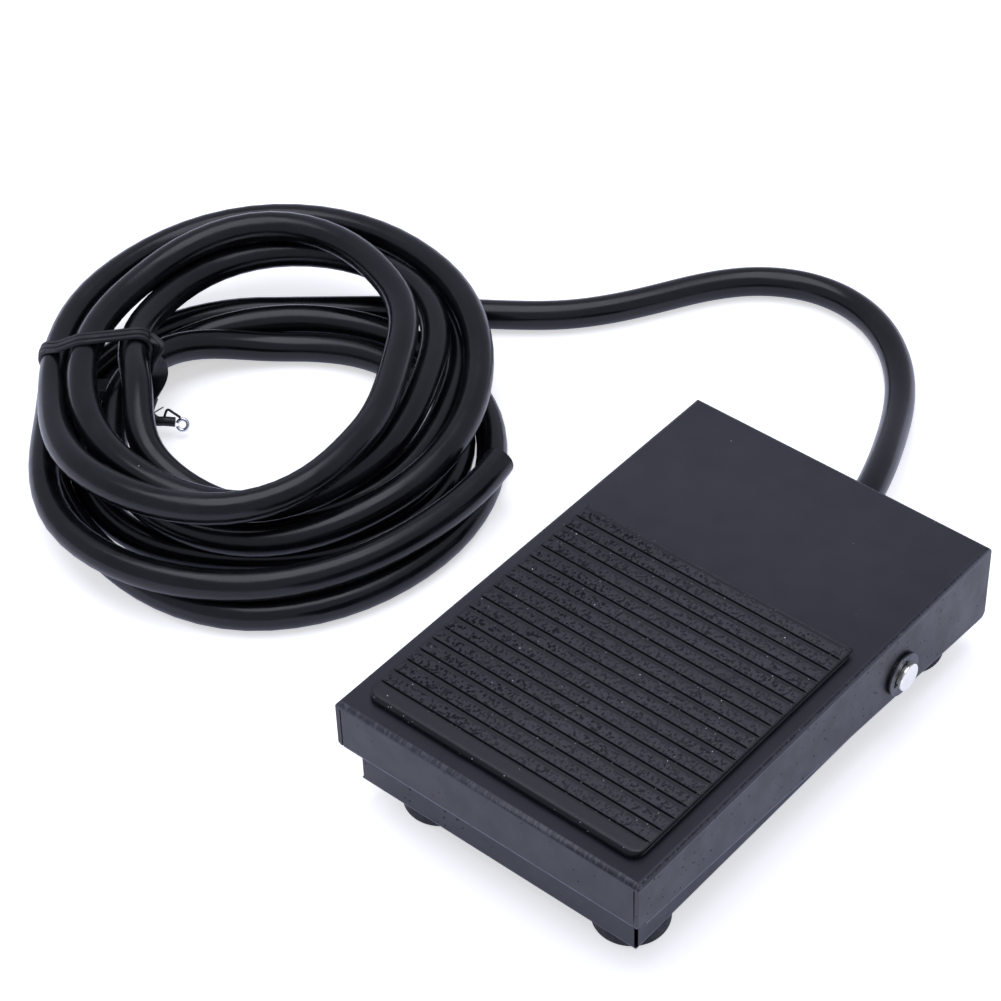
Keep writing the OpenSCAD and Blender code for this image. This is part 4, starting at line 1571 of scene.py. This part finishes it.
@dataclass
class SoftenedSolid:
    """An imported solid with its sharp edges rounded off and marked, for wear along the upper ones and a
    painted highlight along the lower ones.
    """

    node: str
    body: Body
    slot: Slot
    edge_round: float = 0.2 * MM
    sharp_above: float = 28.0
    flat_below: float = 0.4
    smooth_below: float = 60.0
    shortest: float = 0.0
    segments: int = 2
    rim: float = 0.0
    wall_area: float = 100 * MM**2
    # Painted highlight on downward faces; rubbing on upward bevels.
    under_edge_highlight: float = 1.0
    upper_wear: float = 0.2
    facing_down: float = -0.15
    wall_slope: float = 0.2
    under_slopes: Spot = (-0.75, -0.05)
    bend_slopes: Spot = (0.05, 0.985)
    front_slopes: Spot = (0.3, 0.96)
    line_slopes: Spot = (0.60, 0.95)
    low_slope: float = 0.72
    # How much painted reflection the front bends and the lower and upper halves of the side bends take.
    front_fold: float = 0.32
    low_fold: float = 0.9
    high_fold: float = 0.25

    def reshape(self, shape: bmesh.types.BMesh) -> None:
        """Leaves the shape of a plain solid as it is."""

    def round_edges(self, shape: bmesh.types.BMesh, edge: bmesh.types.BMLayerItem) -> None:
        """Rounds the sharp edges.

        Args:
            shape: The shape.
            edge: Face layer that takes the wear of the upper rounded edges and the painted highlight of the
                lower ones.
        """
        limit = math.radians(self.sharp_above)
        sharp = [
            e for e in shape.edges
            if len(e.link_faces) == 2 and e.calc_face_angle() > limit and e.calc_length() > self.shortest
        ]
        made = bmesh.ops.bevel(
            shape,
            geom=sharp,
            offset=self.edge_round,
            offset_type="OFFSET",
            segments=self.segments,
            profile=0.5,
            affect="EDGES",
            clamp_overlap=True,
        )
        shape.normal_update()
        for face in made["faces"]:
            # Downward bevels take the painted highlight in full, upward ones a little rubbing.
            face[edge] = self.under_edge_highlight if face.normal.z < self.facing_down else self.upper_wear

    def split_rims(self, shape: bmesh.types.BMesh, edge: bmesh.types.BMLayerItem) -> None:
        """Splits a thin strip off the foot of each outer wall, which takes a painted highlight.

        Args:
            shape: The softened shape.
            edge: Face layer that marks the strips.
        """
        walls = [
            face for face in shape.faces
            if self.rim and abs(face.normal.z) < 0.5 * self.wall_slope and face.calc_area() > self.wall_area
            and face.normal.dot(face.calc_center_median()) > 0
        ]
        for face in walls:
            middle = face.calc_center_median().z
            low = [e for e in face.edges if e.verts[0].co.z + e.verts[1].co.z < 2 * middle]
            foot = max(low, key=lambda e: e.calc_length())
            start, end = (vert.co.copy() for vert in foot.verts)
            up = face.normal.cross(end - start).normalized()
            up *= math.copysign(1.0, up.z)
            cut = start + up * self.rim
            made = bmesh.ops.bisect_plane(
                shape, geom=[face, *face.edges, *face.verts], dist=1e-7, plane_co=cut, plane_no=up
            )
            for part in made["geom"]:
                if isinstance(part, bmesh.types.BMFace) and (part.calc_center_median() - cut).dot(up) < 0:
                    # The strip takes the painted highlight.
                    part[edge] = self.under_edge_highlight
        shape.normal_update()

    def mark_folds(self, shape: bmesh.types.BMesh, marks: dict[str, bmesh.types.BMLayerItem]) -> None:
        """Marks upright walls, undersides with a painted highlight, and the bends of the folded sheet with
        their painted reflection, by their slope.

        Args:
            shape: The softened shape.
            marks: Face layers by name.
        """
        for face in shape.faces:
            n = face.normal
            face[marks["wall"]] = float(abs(n.z) < self.wall_slope)
            # Downward-sloping faces take the painted highlight.
            if between(n.z, self.under_slopes):
                face[marks["edge"]] = self.under_edge_highlight
            if face[marks["edge"]] or not between(n.z, self.bend_slopes):
                continue
            if abs(n.y) > abs(n.x):
                face[marks["fold"]] = self.front_fold
                face[marks["fold_front"]] = float(between(n.z, self.front_slopes))
            else:
                face[marks["fold"]] = self.low_fold if n.z < self.low_slope else self.high_fold
                face[marks["fold_line"]] = float(between(n.z, self.line_slopes))

    def build(self, finishes: Finishes) -> bpy.types.Object:
        """Makes the softened copy and hides the solid behind it.

        Args:
            finishes: The object's finishes.

        Returns:
            The new piece.
        """
        shape = bmesh.new()
        shape.from_mesh(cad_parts[self.node].data)
        bmesh.ops.remove_doubles(shape, verts=shape.verts, dist=WELD)
        flat = math.radians(self.flat_below)
        bmesh.ops.dissolve_limit(shape, angle_limit=flat, verts=shape.verts, edges=shape.edges)
        self.reshape(shape)
        marks = {name: shape.faces.layers.float.new(name) for name in FACE_MARKS}
        self.round_edges(shape, marks["edge"])
        self.split_rims(shape, marks["edge"])
        self.mark_folds(shape, marks)
        mesh = closed_mesh(self.node, shape, self.smooth_below)
        holder = bpy.data.objects.new("softening", mesh)
        bpy.context.scene.collection.objects.link(holder)
        weighted = holder.modifiers.new("weighted_normals", "WEIGHTED_NORMAL")
        weighted.keep_sharp = True
        finish = finishes[self.slot]
        return add_piece(f"{self.node}_skin", evaluated(holder), self.body, finish, (self.node,))


@dataclass
class OpenTray(SoftenedSolid):
    """The base tray, whose front wall reaches its corners and whose side walls stop just short of them."""

    half_width: float = 30.0 * MM
    half_length: float = 47.5 * MM
    sheet: float = 0.9 * MM
    seam: float = 0.6 * MM
    floor: float = 4.7 * MM
    reach: float = 1.1 * MM
    inner_reach: float = 0.4 * MM
    set_back: float = 0.55 * MM
    inner_back: float = 1.3 * MM

    def reshape(self, shape: bmesh.types.BMesh) -> None:
        """Moves the open seams of the front wall out to its two corners.

        Args:
            shape: The tray's shape.
        """
        inner = self.half_width - self.sheet - self.seam / 2
        for vert in shape.verts:
            place = vert.co
            if place.y > self.sheet * 1.2 - self.half_length or place.z < self.floor - 0.01 * MM:
                continue
            if abs(place.x) > inner:
                outside = abs(place.x) > self.half_width - 0.5 * self.sheet
                place.y += self.set_back if outside else self.inner_back
            elif abs(place.x) > inner - self.seam:
                outside = place.y < 0.5 * self.sheet - self.half_length
                place.x += math.copysign(self.reach if outside else self.inner_reach, place.x)


@dataclass(frozen=True)
class RibPoint:
    """One point of a rib's section."""

    y: float
    z: float
    worn: float = 0.0
    # How much caught dust and painted shade the point takes.
    groove: float = 0.0


@dataclass
class TreadPad:
    """Ribbed rubber pad: a ledged base sheet, worn saw-tooth ribs, a rear bead and a rolled front lip."""

    pitch: float = 3.25 * MM
    ribs: int = 17
    groove: float = 0.36 * MM
    land: float = 0.10 * MM
    ramp: float = 0.42 * MM
    shelf: float = 0.62 * MM
    ramp_drop: float = 0.05 * MM
    crest: float = 0.14 * MM
    sunk: float = 0.30 * MM
    fade: float = 1.0 * MM
    end_drop: float = 0.10 * MM
    end_roll: float = 0.20 * MM
    corner: float = 2.2 * MM
    ledge: float = 0.16 * MM
    ledge_share: float = 0.52
    bead: float = 0.72 * MM
    nose: float = 0.90 * MM
    undercut: float = 0.28 * MM
    columns: int = 300
    edge_columns: int = 60
    rim_insets: tuple[float, ...] = (0.0, 0.03, 0.08, 0.14, 0.20, 0.30, 0.45, 0.6, 0.8, 1.0, 1.3, 1.7)
    rim_width: float = 2.2 * MM
    bead_inset: float = 0.6 * MM
    lip_foot: float = 0.3 * MM
    shelf_worn: float = 0.05
    # Painted shade and caught dust on the shelf (shelf_groove) and on each rib's steep front (front_groove).
    shelf_groove: float = 0.54
    crest_worn: float = 0.5
    front_groove: float = 0.6
    bead_worn: float = 0.6
    bead_height: float = 0.85
    bead_round: float = 0.6
    patch_span: Spot = (0.36, 0.62)
    patch_strength: Spot = (0.6, 1.2)
    smooth_below: float = 50.0
    patch_size: float = 8 * MM
    wave_size: float = 7 * MM
    crumb_sizes: Point = (0.46 * MM, 0.8 * MM, 0.8 * MM)
    grain: float = 0.17 * MM
    grain_right: float = 0.55
    sway: float = 0.10 * MM
    seed: int = 7

    def foot_of_ramp(self, deep: float) -> list[RibPoint]:
        """The rear face of a strip down to a given depth, and the flat land before its ramp."""
        low = -self.groove
        return [RibPoint(0.0, deep), RibPoint(0.0, low, 0.0, 1.0), RibPoint(-self.land, low, 0.0, 1.0)]

    def ramp_rise(self, share: float) -> float:
        """Height of the round ramp at a share of its length."""
        return (self.groove - self.ramp_drop) * math.sin(share * math.pi / 2) - self.groove

    def rib_section(self) -> list[RibPoint]:
        """Section of a rib: land, smooth ramp, shelf, worn top and steep front.

        Returns:
            Its points from the rear to the front.
        """
        deep = -self.groove - self.sunk
        points = self.foot_of_ramp(deep)
        for f in (0.15, 0.3, 0.5, 0.75, 1.0):
            groove = max(0.0, 1.0 - 2.0 * f)
            points.append(RibPoint(-self.land - self.ramp * f, self.ramp_rise(f), 0.25 * f, groove))
        start = -self.land - self.ramp
        for f in (0.35, 0.7):
            back = start - self.shelf * f
            points.append(RibPoint(back, -self.ramp_drop, self.shelf_worn, self.shelf_groove))
        start -= self.shelf
        front = self.crest - self.pitch
        for f in (0.0, 0.12, 0.25, 0.4, 0.55, 0.7, 0.85, 1.0):
            worn = min(1.0, 0.3 + 6.0 * f)
            points.append(RibPoint(start + (front - start) * f, -self.ramp_drop * (1.0 - f), worn))
        for a in (math.pi / 6, math.pi / 3, math.pi / 2):
            drop = self.crest * (math.cos(a) - 1.0)
            points.append(RibPoint(front - self.crest * math.sin(a), drop, self.crest_worn))
        foot = RibPoint(-self.pitch, -self.groove, 0.0, self.front_groove)
        return [*points, foot, RibPoint(-self.pitch, deep)]

    def bead_section(self) -> list[RibPoint]:
        """Section of the low bead along the pad's rear edge.

        Returns:
            Its points from the rear to the front.
        """
        deep = -self.groove - self.sunk
        points = [RibPoint(0.0, deep)]
        for a in (math.pi * i / 10 for i in range(11)):
            back = self.bead * (0.5 - 0.5 * math.cos(a))
            rise = self.bead_height * math.sin(a) ** self.bead_round
            points.append(RibPoint(-back, -self.groove * (1.0 - rise), self.bead_worn))
        return [*points, RibPoint(-self.bead, deep)]

    def lip_section(self, length: float, height: float) -> list[RibPoint]:
        """Section of the smooth front strip.

        Args:
            length: Its length along the pad.
            height: Height of the pad.

        Returns:
            Its points from the rear over the rolled nose to the undercut.
        """
        points = self.foot_of_ramp(self.lip_foot - height)
        for f in (0.3, 0.6, 1.0):
            points.append(RibPoint(-self.land - self.ramp * f, self.ramp_rise(f), 0.1, 1.0 - f))
        start, front = -self.land - self.ramp, self.nose - length
        for f in (0.2, 0.4, 0.6, 0.8, 1.0):
            points.append(RibPoint(start + (front - start) * f, -self.ramp_drop * (1.0 - f), 0.15))
        # The rolled nose takes the groove mark, a painted shade.
        for a in (math.pi * i / 16 for i in range(1, 9)):
            drop = self.nose * (math.cos(a) - 1.0)
            points.append(RibPoint(front - self.nose * math.sin(a), drop, 0.1, min(0.9, a)))
        foot = [(0.0, 0.45), (0.3, 0.2), (1.0, 0.08)]
        return points + [RibPoint(-length + self.undercut * i, z * MM - height, 0.0, 0.3) for i, z in foot]

    def strip(
        self, name: str, section: Sequence[RibPoint], half: float, columns: int, round_front: bool
    ) -> bpy.types.Mesh:
        """A strip from side to side of the pad whose relief fades into a smooth rim at both ends.

        Args:
            name: Name of the mesh.
            section: Its section.
            half: Half its width.
            columns: Number of columns between the rims.
            round_front: Whether its front follows the pad's round corners.

        Returns:
            A closed mesh that keeps its wear and the depth of its grooves as attributes.
        """
        ends = [inset * MM for inset in self.rim_insets]
        inner = half - self.rim_width
        middle = [inner * (2.0 * i / columns - 1.0) for i in range(columns + 1)]
        stations = [inset - half for inset in ends] + middle + [half - inset for inset in reversed(ends)]
        length = -min(point.y for point in section)
        lowest = min(section[0].z, section[-1].z)
        rings, worn, grooves = [], [], []
        for x in stations:
            inset = half - abs(x)
            f = min(1.0, inset / self.fade)
            relief = f * f * (3.0 - 2.0 * f)
            roll = max(0.0, self.end_roll - inset)
            drop = self.end_roll - math.sqrt(self.end_roll**2 - roll**2)
            short = max(0.0, self.corner - inset) if round_front else 0.0
            scale = 1.0 - (self.corner - math.sqrt(self.corner**2 - short**2)) / length
            ring = []
            for point in section:
                level = point.z
                if level > -self.groove - WELD:
                    level = level * relief - self.end_drop * (1.0 - relief) - drop
                ring.append(Vector((x, point.y * scale, max(level, lowest))))
            rings.append(ring)
            worn += [point.worn * relief for point in section]
            grooves += [point.groove for point in section]
        shape = bmesh.new()
        skin(shape, rings)
        mesh = closed_mesh(name, shape, self.smooth_below)
        keep_values(mesh, "worn", worn)
        keep_values(mesh, "groove", grooves)
        return mesh

    def rows(
        self, name: str, rear: Point, ribs: int, half: float, finish: bpy.types.Material
    ) -> bpy.types.Mesh:
        """Repeats the rib down the pad with geometry nodes and tears the tops.

        Args:
            name: Name of the tree.
            rear: Rear end of the row, on the level of the crests.
            ribs: Number of ribs.
            half: Half the ribs' width.
            finish: Material of the ribs.

        Returns:
            The ribs in one mesh, in place.
        """
        recipe = Recipe(name)
        count = recipe.size("Count", ribs)
        pitch = recipe.size("Pitch", self.pitch)
        grain = recipe.size("Grain", self.grain)
        least = recipe.size("Grain on the right", self.grain_right)
        sway = recipe.size("Sway", self.sway)
        seed = recipe.size("Seed", self.seed)
        step = recipe.add("ShaderNodeCombineXYZ", {1: recipe.math("MULTIPLY", pitch, -1.0)})
        line = recipe.add(
            "GeometryNodeMeshLine", {"Count": count, "Start Location": rear, "Offset": step.outputs[0]}
        )
        copies = recipe.add(
            "GeometryNodeInstanceOnPoints", {"Points": line.outputs[0], "Instance": recipe.entry.outputs[0]}
        )
        real = recipe.add("GeometryNodeRealizeInstances", {0: copies.outputs[0]})
        spot = recipe.add("GeometryNodeInputPosition").outputs[0]
        across = recipe.add("ShaderNodeSeparateXYZ", {0: spot}).outputs[0]
        fade = recipe.ramp(across, -half, half, 1.0, least, "LINEAR")
        offset = recipe.add("ShaderNodeCombineXYZ", {0: recipe.math("MULTIPLY", seed, self.pitch)})
        recipe.place = recipe.vector("ADD", spot, offset.outputs[0])
        patch = recipe.noise(self.patch_size)
        patch = recipe.ramp(patch, *self.patch_span, *self.patch_strength, "LINEAR")
        crumb = recipe.noise(1.0, 2.0, recipe.scaled(tuple(1.0 / size for size in self.crumb_sizes)))
        rise = recipe.math("MULTIPLY", recipe.math("SUBTRACT", crumb, 0.5), grain)
        rise = recipe.math("MULTIPLY", recipe.math("MULTIPLY", rise, fade), patch)
        wave = recipe.math("SUBTRACT", recipe.noise(self.wave_size), 0.5)
        rise = recipe.math("ADD", rise, recipe.math("MULTIPLY", wave, sway))
        mask = recipe.add("GeometryNodeInputNamedAttribute", {"Name": "worn"}, data_type="FLOAT")
        rise = recipe.math("MULTIPLY", rise, mask.outputs[0])
        lift = recipe.add("ShaderNodeCombineXYZ", {2: rise})
        moved = recipe.add("GeometryNodeSetPosition", {0: real.outputs[0], "Offset": lift.outputs[0]})
        rib = self.strip("rib", self.rib_section(), half, self.columns, False)
        return recipe.run(rib, moved.outputs[0], finish)

    def sheet(self, low: Vector, high: Vector, top: float) -> bpy.types.Mesh:
        """The base sheet with round corners and a ledge half-way up its side.

        Args:
            low: Lowest corner of the pad.
            high: Highest corner of the pad.
            top: Level of its upper face.

        Returns:
            A closed mesh.
        """
        shelf = low.z + self.ledge_share * (high.z - low.z)
        out = -0.5 * self.ledge
        walls = [
            (out + 0.12 * MM, low.z), (out + 0.03 * MM, low.z + 0.06 * MM), (out, low.z + 0.16 * MM),
            (out, shelf - 0.05 * MM), (out + 0.02 * MM, shelf - 0.01 * MM), (out + 0.06 * MM, shelf),
            (0.5 * self.ledge, shelf + 0.02 * MM), (0.5 * self.ledge, top - 0.1 * MM), (self.ledge, top),
        ]
        shape = bmesh.new()
        rings = []
        for inset, z in walls:
            ring = []
            for cx, cy, first in (
                (high.x, high.y, 0.0), (low.x, high.y, 0.5), (low.x, low.y, 1.0), (high.x, low.y, 1.5)
            ):
                mid = Vector((
                    cx - math.copysign(self.corner, cx),
                    cy - (self.corner if cy == high.y else -self.corner),
                    z,
                ))
                for k in range(9):
                    a = math.pi * (first + k / 16)
                    r = self.corner - inset
                    ring.append(mid + Vector((r * math.cos(a), r * math.sin(a), 0.0)))
            rings.append(ring)
        skin(shape, rings)
        return closed_mesh("pad_sheet", shape, self.smooth_below)

    def build(self, finishes: Finishes) -> None:
        """Makes the sheet, the ribs, the rear bead and the front lip.

        Args:
            finishes: The object's finishes.
        """
        low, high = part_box("tread_pad")
        half = (high.x - low.x) / 2 - 0.5 * self.ledge
        rubber = finishes[Slot.TREAD]
        set_back = Vector((low.x, low.y + 1.2 * self.undercut, low.z))
        base = self.sheet(set_back, high, high.z - self.groove - 0.5 * self.sunk)
        add_piece("tread_sheet", base, Body.PEDAL, rubber, ("tread_pad",))
        front = high.y
        at_rear = self.ribs // 2
        for name, ribs in (("tread_ribs_rear", at_rear), ("tread_ribs_front", self.ribs - at_rear)):
            rows = self.rows(name, (0.0, front, high.z), ribs, half, rubber)
            add_piece(name, rows, Body.PEDAL, rubber)
            front -= ribs * self.pitch
        section = self.lip_section(front - low.y, high.z - low.z)
        lip = self.strip("lip", section, half, self.edge_columns, True)
        bead = self.strip("bead", self.bead_section(), half - self.bead_inset, self.edge_columns, False)
        for name, mesh, y in (("tread_front_lip", lip, front), ("tread_rear_bead", bead, high.y)):
            mesh.transform(Matrix.Translation((0.0, y, high.z)))
            add_piece(name, mesh, Body.PEDAL, rubber)


@dataclass
class ReturnSpring:
    """Compression spring with closed, ground ends, squeezed by the pedal."""

    at: Spot = (0.0, -30 * MM)
    mean_radius: float = 4.5 * MM
    wire: float = 1.1 * MM
    open_turns: float = 5.0
    end_turns: float = 1.0
    steps_per_turn: int = 28
    sides: int = 12
    drop: float = 3.3 * MM

    def build(self, finishes: Finishes) -> None:
        """Winds the spring and sets it on the base.

        Args:
            finishes: The object's finishes.
        """
        low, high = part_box("return_spring")
        bottom, top = low.z + self.wire / 2, high.z - self.wire / 2
        turns = self.open_turns + 2 * self.end_turns
        t = np.linspace(0.0, turns, int(turns * self.steps_per_turn) + 1)
        closed = self.wire * self.end_turns
        ends = [0.0, self.end_turns, turns - self.end_turns, turns]
        rise = np.interp(t, ends, [bottom, bottom + closed, top - closed, top])
        x, y = self.at
        angle = math.tau * t
        path = np.stack(
            [x + self.mean_radius * np.cos(angle), y + self.mean_radius * np.sin(angle), rise], axis=1
        )
        steel = finishes[Slot.SPRING]
        mesh = swept_wire("spring_sweep", path, self.wire / 2, self.sides, steel)
        piece = add_piece("return_spring_coil", mesh, Body.BASE, steel, ("return_spring",))
        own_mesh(piece)


class Fittings:
    """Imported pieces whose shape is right: softened copies where they show, finishes on the rest."""

    SOFTENED = (
        SoftenedSolid("pedal_cover", Body.PEDAL, Slot.PAINT, shortest=1.5 * MM, rim=0.28 * MM),
        OpenTray("base_tray", Body.BASE, Slot.PAINT, shortest=1.5 * MM),
        SoftenedSolid("pivot_pin", Body.BASE, Slot.PIN, 0.08 * MM),
        SoftenedSolid("retaining_clips", Body.BASE, Slot.CLIP, 0.08 * MM),
        SoftenedSolid("rubber_feet", Body.BASE, Slot.FOOT, 0.15 * MM),
    )
    DRESSED = {
        "foot_screws": Slot.ZINC,
        "foot_nuts": Slot.ZINC,
        "switch_bracket": Slot.ZINC,
        "bracket_rivets": Slot.ZINC,
        "switch_case": Slot.CASE,
        "switch_plunger": Slot.PLUNGER,
        "switch_terminals": Slot.BRASS,
        "switch_screws": Slot.ZINC,
        "switch_nuts": Slot.ZINC,
        "spring_post": Slot.ZINC,
        "spring_cup": Slot.ZINC,
        "striker": Slot.ZINC,
        "cable_grommet": Slot.FOOT,
        "cable_clamp": Slot.NYLON,
        "clamp_screw": Slot.ZINC,
        "cable_tail": Slot.JACKET,
        "core_wires": Slot.CORE,
    }

    def build(self, finishes: Finishes) -> None:
        """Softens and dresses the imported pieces.

        Args:
            finishes: The object's finishes.
        """
        for solid in self.SOFTENED:
            solid.build(finishes)
        for node, slot in self.DRESSED.items():
            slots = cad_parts[node].data.materials
            slots.clear()
            slots.append(finishes[slot])
            LOG.info("%s: %s", node, slot.value)


def main() -> None:
    """Builds the studio and every piece in order."""
    logging.basicConfig(level=logging.INFO, format="%(name)s: %(message)s")
    Studio().build()
    finishes = Finishes()
    run = CableRun()
    cable, path = run.build(finishes)
    extras = CutEnd().build(path, finishes)
    extras += TwistTie().build(run, path, finishes)
    Fittings().build(finishes)
    TreadPad().build(finishes)
    ReturnSpring().build(finishes)


if __name__ == "__main__":
    main()
